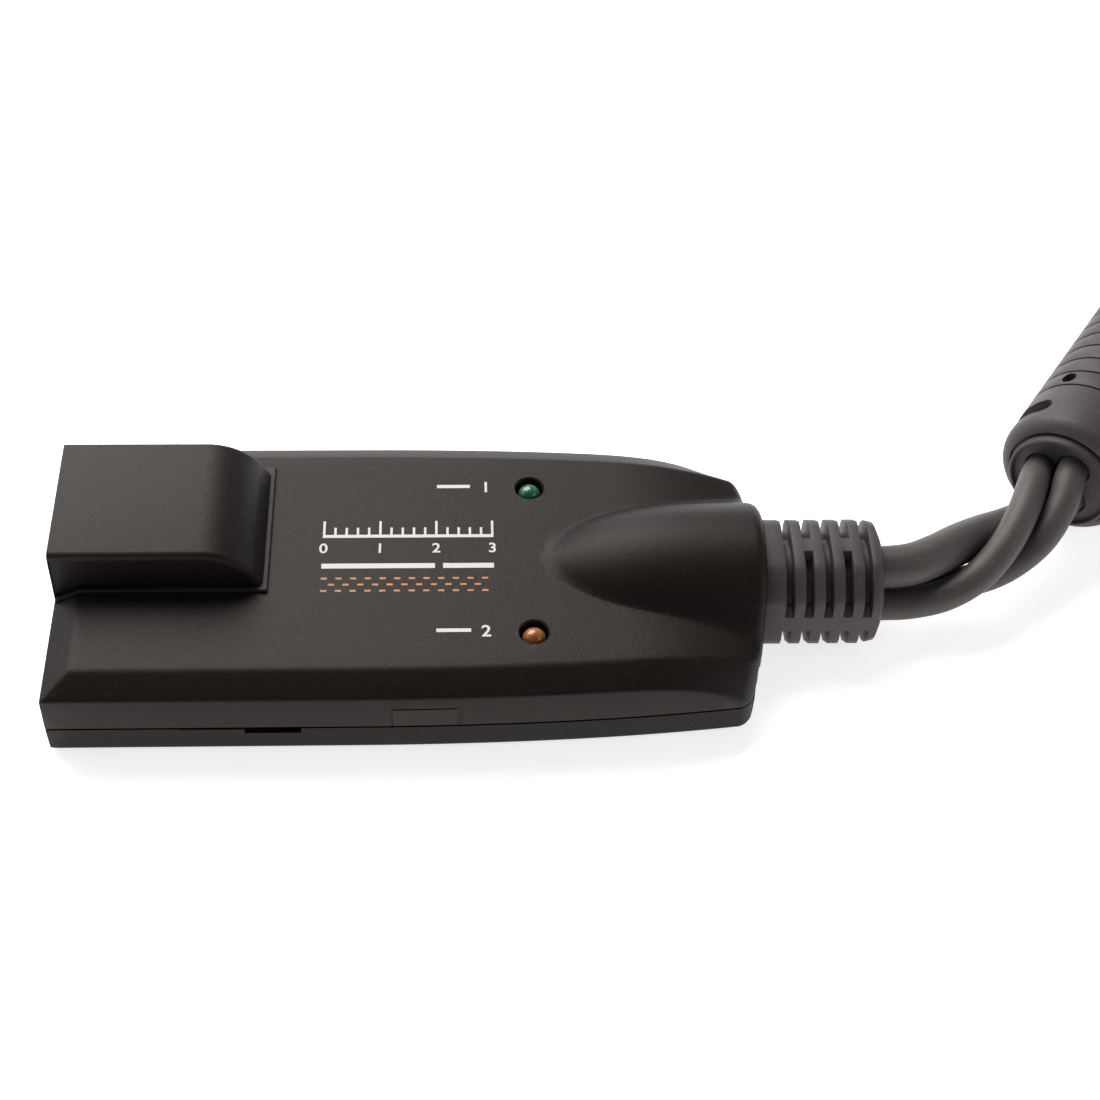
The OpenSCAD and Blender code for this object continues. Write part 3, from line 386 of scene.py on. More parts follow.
def row_of(name, mesh, material, count, step):
    """Copies of a mesh in a straight row, by a node tree: a line of points, a copy on each."""
    tree = bpy.data.node_groups.new(name, "GeometryNodeTree")
    tree.interface.new_socket("Geometry", in_out="OUTPUT", socket_type="NodeSocketGeometry")
    sockets = [tree.interface.new_socket(label, in_out="INPUT", socket_type="NodeSocket" + kind)
               for label, kind in (("Copied", "Object"), ("Count", "Int"), ("Step", "Vector"),
                                   ("Finish", "Material"))]
    given = add_node(tree, "NodeGroupInput")
    places = add_node(tree, "GeometryNodeMeshLine",
                      {"Count": given.outputs["Count"], "Offset": given.outputs["Step"]})
    copied = add_node(tree, "GeometryNodeObjectInfo", {"Object": given.outputs["Copied"]})
    copies = add_node(tree, "GeometryNodeInstanceOnPoints",
                      {"Points": places.outputs["Mesh"], "Instance": copied.outputs["Geometry"]})
    real = add_node(tree, "GeometryNodeRealizeInstances",
                    {"Geometry": copies.outputs["Instances"]})
    finished = add_node(tree, "GeometryNodeSetMaterial",
                        {"Geometry": real.outputs["Geometry"], "Material": given.outputs["Finish"]})
    add_node(tree, "NodeGroupOutput", {"Geometry": finished.outputs["Geometry"]})
    source = placed("source", mesh)
    carrier = placed("carrier", bpy.data.meshes.new(name))
    row = carrier.modifiers.new(name, "NODES")
    row.node_group = tree
    for socket, value in zip(sockets, (source, count, Vector(step) * MM, material)):
        row[socket.identifier] = value
    made = baked(carrier, name)
    bpy.data.objects.remove(source)
    return made


def bend(start, corner, end, steps):
    """Curve that leaves for a corner and comes from it."""
    return [(1 - t) ** 2 * start + 2 * t * (1 - t) * corner + t * t * end
            for t in even(0, 1, steps)]


# A rounded corner takes up no more than this share of either side
SIDE_SHARE = 0.49


def fillet(before, corner, after, reach, steps=4):
    """Points that round a corner: a curve that leaves both sides at the same distance."""
    back = Vector(before) - Vector(corner)
    ahead = Vector(after) - Vector(corner)
    corner = Vector(corner)
    a = corner + back.normalized() * min(reach, back.length * SIDE_SHARE)
    b = corner + ahead.normalized() * min(reach, ahead.length * SIDE_SHARE)
    return bend(a, corner, b, steps)


# Copies of the frame's own solids with their edges rounded. Points nearer than SOLID_MERGE_MM
# are one, faces that bend less than FLAT_ANGLE are one, and edges over EDGE_ANGLE are rounded
SOLID_MERGE_MM = 0.003
FLAT_ANGLE = radians(1.0)
EDGE_ANGLE = radians(35)
EDGE_SMOOTH_DEG = 40


def softened(node, radius, body="adapter", steps=2):
    """Grey PVC piece from a CAD node's mesh: doubles merged, flats made whole, edges rounded."""
    bm = bmesh.new()
    bm.from_mesh(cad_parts[node].data)
    bmesh.ops.remove_doubles(bm, verts=bm.verts, dist=SOLID_MERGE_MM * MM)
    bmesh.ops.dissolve_limit(bm, angle_limit=FLAT_ANGLE, verts=bm.verts, edges=bm.edges)
    helper = placed("helper", mesh_from(bm, node + "_soft"))
    bevel = helper.modifiers.new("edges", "BEVEL")
    bevel.width = radius * MM
    bevel.segments = steps
    bevel.limit_method = "ANGLE"
    bevel.angle_limit = EDGE_ANGLE
    piece = piece_from(node + "_finish", baked(helper, node + "_finish"), GREY_PVC, body,
                       EDGE_SMOOTH_DEG)
    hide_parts(node)
    return piece


softened("strain_relief_boot", 0.42, steps=3)
video_body = softened("video_plug_body", 0.5)
thumbscrews = [softened(side + "_thumbscrew", 0.12, body=side + "_screw")
               for side in ("inner", "outer")]
keyboard_grip = softened("keyboard_plug_grip", 0.35)
mouse_grip = softened("mouse_plug_grip", 0.35)


# Leads: the same route points as in the part's source. The three wind round one line, then part
LINE_ROUTE = [(51, 0, 7.2), (55.2, 0.25, 7.15), (59.2, 1.15, 7.15), (63, 2.75, 7.25),
              (67, 5.25, 7.55), (71, 8.35, 8.1), (74.4, 11.85, 8.7), (77, 15.25, 9)]
VIDEO_ROUTE = [(103.4, 51.65, 5.4), (109, 58.51, 4.73), (115.1, 64.87, 3.48),
               (121.6, 70.85, 2.75), (128.5, 76.37, 2.75), (136.1, 80.95, 2.75),
               (144.7, 81.89, 2.75), (153.5, 80.93, 2.75), (162, 78.43, 2.75),
               (169.2, 73.49, 2.75), (173.7, 65.96, 2.75), (175, 57.25, 3.4), (175, 48.25, 5.3),
               (175, 40.75, 7.2), (175, 35.25, 7.75)]
KEYBOARD_ROUTE = [(99.4, 53.85, 8.6), (104.6, 62.14, 6.66), (109.6, 70.54, 3.31),
                  (115.5, 78.31, 2.1), (123.1, 84.36, 2.1), (132.2, 87.99, 2.1),
                  (141.8, 89.64, 2.1), (151.5, 89.98, 2.1), (161.3, 89.17, 2.1),
                  (170.8, 87.01, 2.1), (179.8, 83.33, 2.1), (188, 77.93, 2.1),
                  (194.5, 70.7, 2.1), (198.6, 61.9, 2.1), (200, 52.25, 2.4), (200, 42.25, 4.2),
                  (200, 34.25, 6), (200, 28.25, 6.5)]
MOUSE_ROUTE = [(104.2, 50.25, 11.2), (109, 53.85, 9.4), (114.2, 57.85, 6.9),
               (119.8, 61.65, 4.4), (125.6, 64.45, 2.6), (131.8, 65.25, 2.1),
               (138, 63.65, 2.1), (143.2, 59.85, 2.1), (146.8, 54.45, 2.1),
               (148.6, 48.05, 2.2), (149, 40.85, 3.2), (149, 33.25, 5),
               (149, 26.85, 6.3), (149, 21.25, 6.5)]
FERRITE_TURN = radians(55.5)
FERRITE_LENGTH = 38.0
# Places inside the ferrite, as shares of its length, where the line has a point
FERRITE_STOPS = (0.24, 0.76, 1.0)
# Whole twist of the leads in degrees, and the share of it that each point of the line has had
LAY_TURN = -223.4
TURN_SHARES = (0, 0.034, 0.1325, 0.274, 0.437, 0.613, 0.783, 0.923, 1, 1, 1)
# Diameters of the leads, and how much thinner their jackets are drawn
VIDEO_LEAD = 5.5
ROUND_LEAD = 4.2
LEAD_SLACK = 0.105
ferrite_at = Vector(LINE_ROUTE[-1])
ferrite_along = Vector((cos(FERRITE_TURN), sin(FERRITE_TURN), 0.0))
line = [Vector(p) for p in LINE_ROUTE]
line += [ferrite_at + s * FERRITE_LENGTH * ferrite_along for s in FERRITE_STOPS]


def strand(off, start_deg):
    """Points of one lead on its way round the line through the ferrite."""
    points = []
    for i, place in enumerate(line):
        if i == 0:
            ahead = Vector((1, 0, 0))
        elif i < len(LINE_ROUTE) - 1:
            ahead = (line[i + 1] - line[i - 1]).normalized()
        else:
            ahead = ferrite_along
        left = UP.cross(ahead).normalized()
        angle = radians(start_deg + LAY_TURN * TURN_SHARES[i])
        points.append(place + off * (cos(angle) * left + sin(angle) * ahead.cross(left)))
    return points


def smooth_path(points, steps=8):
    """Smooth curve through every point."""
    p = [Vector(q) for q in points]
    p = [2 * p[0] - p[1]] + p + [2 * p[-1] - p[-2]]
    path = []
    for a, b, c, d in zip(p, p[1:], p[2:], p[3:]):
        for k in range(steps):
            t = k / steps
            path.append(0.5 * (2 * b + (c - a) * t + (2 * a - 5 * b + 4 * c - d) * t * t
                               + (3 * b - a - 3 * c + d) * t ** 3))
    return path + [p[-2]]


# Ferrite: cover with a rounded shoulder, a lipped end face, grooves, a slot and a dimple.
# Places run along its axis from the near end, angles from its left side up over its top
FERRITE_R = 9.0
SHOULDER_R = 2.1
SHOULDER_AT = 2.9
SHOULDER_FROM = radians(-75)
GROOVE_FROM = 9.8
GROOVE_PITCH = 3.1
GROOVE_COUNT = 7
GROOVE_FLOOR = 8.62
SLOT_AT = 5.1
SLOT_HALF = 1.3
SLOT_START = radians(-25)
SLOT_END = radians(57)
SLOT_STEPS = 60
DIMPLE_AT = 11.3
DIMPLE_R = 1.0
DIMPLE_ANGLE = radians(55.5)
# Slot and dimple go down to the first radius. Their cutters start outside the cover, at the other
DENT_FLOOR = 7.9
CUT_R = 9.6
# Room for the core, narrower bores at its ends, the wall that closes each end, and the holes in it
CORE_FROM = 6.0
CORE_R = 7.8
BORE_R = 5.5
END_WALL = 1.8
MIDDLE_HOLE_R = 1.25
LEAD_CLEARANCE = 0.16
HOLE_SIDES = 32
ferrite_left = UP.cross(ferrite_along)


def on_ferrite(along, radius, angle):
    """Point round the ferrite's axis: the angle runs from its left side up over its top."""
    return (ferrite_at + along * ferrite_along
            + radius * (cos(angle) * ferrite_left + sin(angle) * UP))


def revolved(name, profile, sides=96):
    """Closed solid from an outline of radius and distance along the ferrite's axis."""
    rows = [[on_ferrite(along, radius, WHOLE_TURN * k / sides) for radius, along in profile]
            for k in range(sides + 1)]
    return mesh_of(name, rows, closed=False)


def tube_room(path, radius):
    """Round tube along a path, as the room that a lead takes."""
    rows = []
    for i, place in enumerate(path):
        ahead = (path[min(i + 1, len(path) - 1)] - path[max(i - 1, 0)]).normalized()
        side = UP.cross(ahead).normalized()
        rows.append(ring(place, side, ahead.cross(side), radius, HOLE_SIDES))
    return mesh_of("tube_room", rows)


def ferrite_end(mirror):
    """Outline of one end, from its middle out over the thin lip and the rounded shoulder."""
    shoulder = [SHOULDER_FROM * (1 - k / 10) for k in range(11)]
    centre = FERRITE_R - SHOULDER_R
    points = [(0.0, 0.45), (6.35, 0.45), (6.5, 0.3), (6.52, -0.15), (6.62, -0.28), (6.85, -0.28),
              (7.0, -0.12), (7.05, 1.3), (7.3, 1.3)]
    points += [(centre + SHOULDER_R * cos(a), SHOULDER_AT + SHOULDER_R * sin(a))
               for a in shoulder]
    return [(r, FERRITE_LENGTH - s) for r, s in points[::-1]] if mirror else points


def ferrite_cover(lead_paths):
    """Cover of the ferrite, hollow for its core, with a hole for each lead in its ends."""
    far = FERRITE_LENGTH
    inside = [(0.0, far - END_WALL), (BORE_R, far - END_WALL), (BORE_R, far - CORE_FROM),
              (CORE_R, far - CORE_FROM), (CORE_R, CORE_FROM), (BORE_R, CORE_FROM),
              (BORE_R, END_WALL), (0.0, END_WALL)]
    body = revolved("ferrite_cover_finish", ferrite_end(False) + ferrite_end(True) + inside)
    groove_side = [(GROOVE_FLOOR, 0.14), (8.9, 0.16), (9.1, 0.75), (9.4, 0.75)]
    groove = revolved("groove", [(r, -s) for r, s in groove_side] + groove_side[::-1])
    for vertex in groove.vertices:
        vertex.co += GROOVE_FROM * MM * ferrite_along
    grooves = row_of("groove_row", groove, GREY_PVC, GROOVE_COUNT, GROOVE_PITCH * ferrite_along)
    slot = []
    for turn in even(SLOT_START, SLOT_END, SLOT_STEPS):
        near_end = min(turn - SLOT_START, SLOT_END - turn) * FERRITE_R
        half = SLOT_HALF * sqrt(max(0.01, 1 - max(0.0, 1 - near_end / SLOT_HALF) ** 2))
        slot.append([on_ferrite(SLOT_AT + s * half, r, turn)
                     for s, r in ((-1, DENT_FLOOR), (1, DENT_FLOOR), (1, CUT_R), (-1, CUT_R))])
    dimple = rod_mesh(on_ferrite(DIMPLE_AT, DENT_FLOOR, DIMPLE_ANGLE),
                      on_ferrite(DIMPLE_AT, CUT_R, DIMPLE_ANGLE), DIMPLE_R, sides=HOLE_SIDES)
    cuts = [dimple, mesh_of("slot", slot), grooves]
    cuts += [tube_room(path, radius + LEAD_CLEARANCE) for path, radius in lead_paths]
    cuts.append(rod_mesh(on_ferrite(-2 * OVERRUN, 0, 0), on_ferrite(far + 2 * OVERRUN, 0, 0),
                         MIDDLE_HOLE_R, sides=HOLE_SIDES))
    piece = piece_from("ferrite_cover_finish", joined(body, cuts, "DIFFERENCE"), GREY_PVC)
    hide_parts("ferrite_cover")
    return piece


# Each lead winds round the line at its own distance, from its own angle in degrees at the boot,
# then follows its own route to its plug
VIDEO_OFF = 0.48 * VIDEO_LEAD
ROUND_OFF = 0.72 * ROUND_LEAD
VIDEO_ANGLE = 93
KEYBOARD_ANGLE = 224.5
MOUSE_ANGLE = 321.5
# Stretch of each path past the ferrite's ends for which its hole is cut
HOLE_PAST = 4
video_path = smooth_path(strand(VIDEO_OFF, VIDEO_ANGLE) + VIDEO_ROUTE)
keyboard_path = smooth_path(strand(ROUND_OFF, KEYBOARD_ANGLE) + KEYBOARD_ROUTE)
mouse_path = smooth_path(strand(ROUND_OFF, MOUSE_ANGLE) + MOUSE_ROUTE)


def in_ferrite(path):
    """Part of a path that runs through the ferrite, and a little way out at both ends."""
    return [p for p in path
            if -HOLE_PAST < (p - ferrite_at).dot(ferrite_along) < FERRITE_LENGTH + HOLE_PAST]


cover = ferrite_cover([(in_ferrite(video_path), VIDEO_LEAD / 2),
                       (in_ferrite(keyboard_path), ROUND_LEAD / 2),
                       (in_ferrite(mouse_path), ROUND_LEAD / 2)])


def lead(name, node, path, diameter):
    """A lead as a round curve along its smooth path, in place of its plain tube."""
    path = [p * MM for p in path]
    curve = bpy.data.curves.new(name, "CURVE")
    curve.dimensions = "3D"
    curve.bevel_depth = (diameter - LEAD_SLACK) / 2 * MM
    curve.bevel_resolution = 8
    curve.use_fill_caps = True
    spline = curve.splines.new("POLY")
    spline.points.add(len(path) - 1)
    for point, place in zip(spline.points, path):
        point.co = (*place, 1.0)
    spline.use_smooth = True
    curve.materials.append(LEAD_PVC)
    piece = placed(name, curve)
    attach(piece, "adapter")
    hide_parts(node)


lead("video_lead_jacket", "video_lead", video_path, VIDEO_LEAD)
lead("keyboard_lead_jacket", "keyboard_lead", keyboard_path, ROUND_LEAD)
lead("mouse_lead_jacket", "mouse_lead", mouse_path, ROUND_LEAD)


# Casing: the outline and heights of the part's source, with the lead end as the photograph has it.
# X runs from the socket face, Y from the middle, Z from the underside
CASE_L = 87.0
CASE_W = 41.5
PLATE_H = 11.9
PART_Z = 5.0
WALL = 1.6
INNER_END = 84.0
FOOT_CHAMFER = 0.5
DRAFT_IN = 0.5
# Sloping border: height of its foot, and its width
BEVEL_Z = 10.1
BEVEL_W = 3.3
# The sides curve in from TAPER_X on, and the border's foot falls nearly to the parting line
TAPER_X = 37.0
TAPER_IN = 2.5
TAPER_POWER = 2.1
FALL_X = 0.63 * CASE_L
FALL_SHARE = 0.96
FALL_POWER = 5.2
# Lead end: its bulge, its corners, the fall of the flat top and the round of its edge
BULGE = 2.4
BULGE_POWER = 3
CORNER_R = 1.5
CROWN_X = 70.0
CROWN_FALL = 2.4
NOSE_R = 1.4
END_HALF = CASE_W / 2 - TAPER_IN
# Lead tunnel: a half round of TUNNEL_R about a line at TUNNEL_Z
TUNNEL_L = 26.9
TUNNEL_R = 11.1
TUNNEL_Z = 5.5
TUNNEL_X = CASE_L - TUNNEL_L
LIP_R = 1.2
# Its nose starts a little before TUNNEL_X and rises softly at first
TUNNEL_START = TUNNEL_X - 0.7
RISE_SOFT = 0.09
RISE_POWER = 3.6
# Width of the hollow flare at its foot: at the lead end, at the nose and everywhere
FLARE_W = 2.4
NOSE_FLARE = 0.9
FLARE_LEAST = 0.25
# Share of the arc, from its foot up, that the flare takes
FLARE_TURN = 0.14
# The tunnel's lip falls by this share of its radius, and its foot is sunk so far in the flat
LIP_FALL = 0.6
FOOT_SUNK = 0.02
# Steps of the arc and of the flare in each loop, and of the hood's roll
ARC_STEPS = 24
FLARE_STEPS = 8


def side_in(x):
    """How far the side has curved in at a place along the casing."""
    return TAPER_IN * (max(0.0, x - TAPER_X) / (CASE_L - TAPER_X)) ** TAPER_POWER


def round_in(x, r):
    """How far an edge of radius r at the lead end has rounded off."""
    return r - sqrt(max(0.0, r * r - max(0.0, x - CASE_L + r) ** 2))


def half_w(x):
    """Half the casing's width."""
    return CASE_W / 2 - side_in(x) - round_in(x, CORNER_R)


def wall_top(x):
    """Height of the border's foot."""
    fall = (max(0.0, x - FALL_X) / (CASE_L - FALL_X)) ** FALL_POWER
    return BEVEL_Z - (BEVEL_Z - PART_Z) * FALL_SHARE * fall


def top_z(x):
    """Height of the flat top."""
    crown = CROWN_FALL * (max(0.0, x - CROWN_X) / (CASE_L - CROWN_X)) ** 2
    return PLATE_H - crown - round_in(x, NOSE_R)


def on_pod(x, y, z):
    """Point in the part's frame, moved back with the bulge of the lead end."""
    share = (max(0.0, x - TUNNEL_X) / TUNNEL_L) ** 2
    return (POD_X + x - share * BULGE * abs(y / END_HALF) ** BULGE_POWER, y, z)


def both_sides(half):
    """Whole loop from its half on one side of the middle, which ends at the middle."""
    return half + [(-y, z) for y, z in half[-2::-1]]


def rounding(end, r, count):
    """Places along a rounded end, closer together towards it."""
    return [end - r + r * sin(a) for a in even(0, pi / 2, count)]


def stations(low, high, count):
    """Places along the casing up to its rounded lead end."""
    return even(low, high - NOSE_R, count)[:-1] + rounding(high, NOSE_R, 12)


def rounded_loop(corners, reaches, count):
    """Whole loop from half its corners, each rounded by its reach, the last side in parts."""
    points = [Vector(corners[0])]
    for before, corner, after, reach in zip(corners, corners[1:], corners[2:], reaches):
        points += fillet(before, corner, after, reach)
    middle = Vector(corners[-1])
    points += [points[-1].lerp(middle, k / count) for k in range(1, count)] + [middle]
    return both_sides([(p.x, p.y) for p in points])


# Radii of the upper shell's two long edges, and the least height of the border's foot
FOOT_EDGE_R = 0.35
PLATE_EDGE_R = 0.5
LEAST_FOOT = 1.05 * PART_Z
# The plate is at least so much higher than the border's foot, and the border at least so wide
LEAST_RISE = 1.02
LEAST_BORDER = 0.02
# Inside, shares of the wall by which the border is wider and its foot lower
INNER_WIDER = 0.25
INNER_LOWER = 0.6


def cap_rows(xs, t, foot, soft):
    """Loops of the upper shell's skin: up one wall, over the border and the flat, and down.
    With a wall thickness t it is the room inside, and soft scales the rounding of its edges."""
    rows = []
    for x in xs:
        h = half_w(x) - t
        inset = min(BEVEL_W, x) if t == 0 else BEVEL_W + INNER_WIDER * t
        high = top_z(x) - t
        if t == 0 and x < BEVEL_W:
            high = BEVEL_Z + (PLATE_H - BEVEL_Z) * x / BEVEL_W
        edge = max(LEAST_FOOT, wall_top(x) - INNER_LOWER * t)
        high = max(edge * LEAST_RISE, high) if x > BEVEL_W or t else max(edge, high)
        inset = max(inset, LEAST_BORDER)
        corners = [(h, foot, 0), (h, edge, 0), (h - inset, high, 0), (0, high, 0)]
        loop = rounded_loop(corners, [FOOT_EDGE_R * soft, PLATE_EDGE_R * soft], 10)
        rows.append([on_pod(x, y, z) for y, z in loop])
    return rows


def tunnel_rows(xs, t, foot):
    """Loops of the raised tunnel: an arc that runs out into the flat through a hollow flare."""
    rows = []
    for x in xs:
        along = max(0.0, min(1.0, (x - TUNNEL_START) / (CASE_L - TUNNEL_START)))
        rise = (1 + RISE_SOFT) * along * along / (along + RISE_SOFT)
        tip = PLATE_H - TUNNEL_Z
        r = tip + (TUNNEL_R - tip) * (1 - (1 - rise) ** RISE_POWER)
        r -= LIP_FALL * round_in(x, LIP_R) + t
        flare = FLARE_W * along ** 3 + NOSE_FLARE * (1 - along) ** 4 + FLARE_LEAST
        base = top_z(x) - TUNNEL_Z - FOOT_SUNK
        low = asin(min(0.995, (base + 0.5 * flare) / r))
        reach = sqrt(max(0.01 * r, r * r - base * base)) + flare
        first = low + FLARE_TURN * (pi / 2 - low)
        arc = [Vector((r * cos(a), TUNNEL_Z + r * sin(a), 0))
               for a in even(first, pi / 2, ARC_STEPS)]
        start = Vector((reach, TUNNEL_Z + base, 0))
        slope = Vector((sin(first), -cos(first), 0))
        drop = (arc[0].y - start.y) / max(1e-6, cos(first))
        corner = arc[0] + slope * drop
        corner.x = min(corner.x, reach)
        flared = bend(start, corner, arc[0], FLARE_STEPS)
        half = [(reach, foot)] + [(p.x, p.y) for p in flared[:-1] + arc]
        rows.append([on_pod(x, y, z) for y, z in both_sides(half)])
    return rows


# Hood over the socket, with its middle at HOOD_Y: a flat top that rolls down to a crease
HOOD_W = 19.2
HOOD_H = 18.1
HOOD_L = 25.7
HOOD_Y = 4.75
HOOD_R = 7.9
HOOD_WALL = 1.4
ROLL_X = HOOD_L - HOOD_R
ROLL_Z = HOOD_H - HOOD_R
CREASE = radians(33)
# Radius of its long edges outside and inside, and how far its side walls are set back
HOOD_EDGE_R = 0.75
HOOD_INNER_R = 0.2
HOOD_RECESS = 0.35
# The recess starts inside the outline, at these shares of the long edges' radius
RECESS_OUT = 1.3
RECESS_IN = 1.4


def hood_outline(t, start, low):
    """Side outline of the hood: flat top, rolled edge, a soft crease and a steep foot."""
    r = HOOD_R - t
    top = [(start, low), (start, HOOD_H - t)]
    roll = [(ROLL_X + r * cos(a), ROLL_Z + r * sin(a)) for a in even(pi / 2, CREASE, ARC_STEPS)]
    return top + roll + [(HOOD_L - t, PLATE_H), (HOOD_L - t, low)]


def hood_mesh(t, start, low, lip, recess):
    """Hood drawn across from side to side: rounded long edges and side walls set back a little."""
    half = HOOD_W / 2 - t
    sides = [(half - recess, RECESS_IN * lip), (half, RECESS_OUT * lip)]
    sides += [(half - lip * (1 - cos(a)), lip * (1 - sin(a)))
              for a in even(0, pi / 2, 6)]
    loops = [[(POD_X + x, HOOD_Y + y, z) for x, z in hood_outline(t + inward, start, low)]
             for y, inward in sides + [(-y, inward) for y, inward in sides[::-1]]]
    return mesh_of("hood", loops)


# Openings: the socket's, the boot's neck, the lamps' and the notch in the near edge of the tray
JACK_W = 15.9
JACK_H = 12.4
BOARD_TOP = 4.0
FIT = 0.15
BOOT_Z = 7.2
NECK_R = 5.184
LAMP_X = 58.4
LAMP_Y = 11.95
LAMP_HOLE_R = 1.8
LAMP_RIM = 0.17
NOTCH_X = 0.271 * CASE_L
NOTCH_L = 0.078 * CASE_L
NOTCH_Z = 1.3
SEAM_L = 0.09 * CASE_L


def jack_room():
    """Room for the network socket, open through the socket face."""
    return box_mesh((POD_X - OVERRUN, HOOD_Y - JACK_W / 2 - FIT, BOARD_TOP - FIT),
                    (POD_X + 2 * WALL, HOOD_Y + JACK_W / 2 + FIT, BOARD_TOP + JACK_H + FIT))


def neck_room():
    """Hole in the lead end for the boot's neck."""
    return rod_mesh((POD_X + INNER_END - 3 * OVERRUN, 0, BOOT_Z),
                    (POD_X + CASE_L + 2 * OVERRUN, 0, BOOT_Z), NECK_R + FIT)


# Thin ledge round the hood's foot: how far it stands out on each side, its height and how far it
# goes down into the casing, the chamfer of its edges, and its start behind the socket face
LEDGE_NEAR = 0.65
LEDGE_FAR = 1.2
LEDGE_BACK = 0.35
LEDGE_H = 0.5
LEDGE_SUNK = 2.2
LEDGE_EDGE = 0.18
LEDGE_FRONT = 0.15


def hood_ledge():
    """Ledge along the hood's foot: it follows the sloping border down to the socket face."""
    near, far = HOOD_Y - HOOD_W / 2 - LEDGE_NEAR, HOOD_Y + HOOD_W / 2 + LEDGE_FAR
    rows = []
    back = HOOD_L + LEDGE_BACK
    for x, plate in ((LEDGE_FRONT, BEVEL_Z + 0.1), (BEVEL_W, PLATE_H), (back - 0.15, PLATE_H),
                     (back, PLATE_H - 0.2)):
        top = plate + LEDGE_H
        rows.append([(POD_X + x, y, z) for y, z in (
            (near, top - LEDGE_SUNK), (near, top - LEDGE_EDGE), (near + LEDGE_EDGE, top),
            (far - LEDGE_EDGE, top), (far, top - LEDGE_EDGE), (far, top - LEDGE_SUNK))])
    return mesh_of("ledge", rows)


# Engraved outline of the snap's window in the near wall: a line over it, and one at each end
# with its place and depth
LATCH_FROM = 41.2
LATCH_TO = 49.1
LATCH_TOP = 8.0
TOP_LINE_DEEP = 0.3
TOP_LINE_W = 0.22
END_LINES = ((LATCH_FROM, 0.03), (LATCH_TO, 0.08))
END_LINE_W = 0.2


def latch_lines():
    """Cutters of the three lines, measured from the wall's face at the middle of the window."""
    face = -CASE_W / 2 + side_in((LATCH_FROM + LATCH_TO) / 2)
    outside = -CASE_W / 2 - OVERRUN
    lines = [box_mesh((POD_X + LATCH_FROM, outside, LATCH_TOP),
                      (POD_X + LATCH_TO, face + TOP_LINE_DEEP, LATCH_TOP + TOP_LINE_W))]
    for x, deep in END_LINES:
        lines.append(box_mesh((POD_X + x, outside, PART_Z - OVERRUN / 2),
                              (POD_X + x + END_LINE_W, face + deep, LATCH_TOP + END_LINE_W / 2)))
    return lines


def lamp_room(y, sides=64):
    """Hole for a lamp: straight, with a small chamfer round its rim."""
    rows = []
    wide = LAMP_HOLE_R + 2 * LAMP_RIM
    for z, r in ((-3 * OVERRUN, LAMP_HOLE_R), (-LAMP_RIM, LAMP_HOLE_R), (LAMP_RIM, wide),
                 (OVERRUN, wide)):
        rows.append([(POD_X + LAMP_X + r * cos(WHOLE_TURN * k / sides),
                      y + r * sin(WHOLE_TURN * k / sides), PLATE_H + z)
                     for k in range(sides)])
    return mesh_of("lamp_room", rows)


# Stations of the skin in the sloping end, and how many more there are in the skin and the room
FRONT_STATIONS = [0.0, 0.6, 1.3, 2.0, 2.7, BEVEL_W]
SKIN_STATIONS = 60
ROOM_STATIONS = 30
# Stations of the tunnel, closer together at its nose by this power, and of its lip
TUNNEL_STATIONS = 44
NOSE_POWER = 1.6
LIP_STATIONS = 8
# The tunnel ends this far past the casing's end, and its room starts at this share of its length
TUNNEL_PROUD = 0.1
TUNNEL_ROOM_FROM = 0.28
TUNNEL_ROOM_SHORT = 0.4
TUNNEL_ROOM_STATIONS = 16
# How much of the skin's rounding the inside has, and how far the hood goes into the casing
INNER_SOFT = 0.4
HOOD_FOOT = PART_Z + 0.5


def upper_shell():
    """Upper shell with soft edges, its hood, tunnel, lamp holes and socket opening."""
    skin_xs = FRONT_STATIONS + stations(BEVEL_W + 1, CASE_L, SKIN_STATIONS)
    skin = mesh_of("casing_cap", cap_rows(skin_xs, 0.0, PART_Z, 1.0))
    start = TUNNEL_START + 0.1
    tunnel_xs = [start + (CASE_L - LIP_R - start) * share ** NOSE_POWER
                 for share in even(0, 1, TUNNEL_STATIONS)[:-1]]
    tunnel_xs += rounding(CASE_L, LIP_R, LIP_STATIONS)[:-1]
    tunnel_xs += [CASE_L - 0.001, CASE_L + TUNNEL_PROUD]
    tunnel = mesh_of("tunnel", tunnel_rows(tunnel_xs, 0.0, PART_Z + WALL / 2))
    hood = hood_mesh(0.0, 0.0, HOOD_FOOT, HOOD_EDGE_R, HOOD_RECESS)
    body = joined(skin, [tunnel, hood, hood_ledge()], "UNION")
    room_xs = [WALL] + stations(WALL + 4, INNER_END, ROOM_STATIONS)
    room = mesh_of("room", cap_rows(room_xs, WALL, PART_Z - OVERRUN, INNER_SOFT))
    inner_xs = even(TUNNEL_X + TUNNEL_ROOM_FROM * TUNNEL_L, INNER_END - TUNNEL_ROOM_SHORT,
                    TUNNEL_ROOM_STATIONS)
    cuts = [room, hood_mesh(HOOD_WALL, WALL, PART_Z - OVERRUN, HOOD_INNER_R, 0.0),
            mesh_of("tunnel_room", tunnel_rows(inner_xs, WALL, PART_Z + WALL)),
            jack_room(), neck_room()]
    cuts += [lamp_room(side * LAMP_Y) for side in (1, -1)] + latch_lines()
    body = joined(body, cuts, "DIFFERENCE")
    body.name = "pod_cover"
    piece = piece_from("pod_cover", body, BLACK_ABS)
    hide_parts("upper_shell")


# Tray: radius of its long edges
TRAY_EDGE_R = 0.5


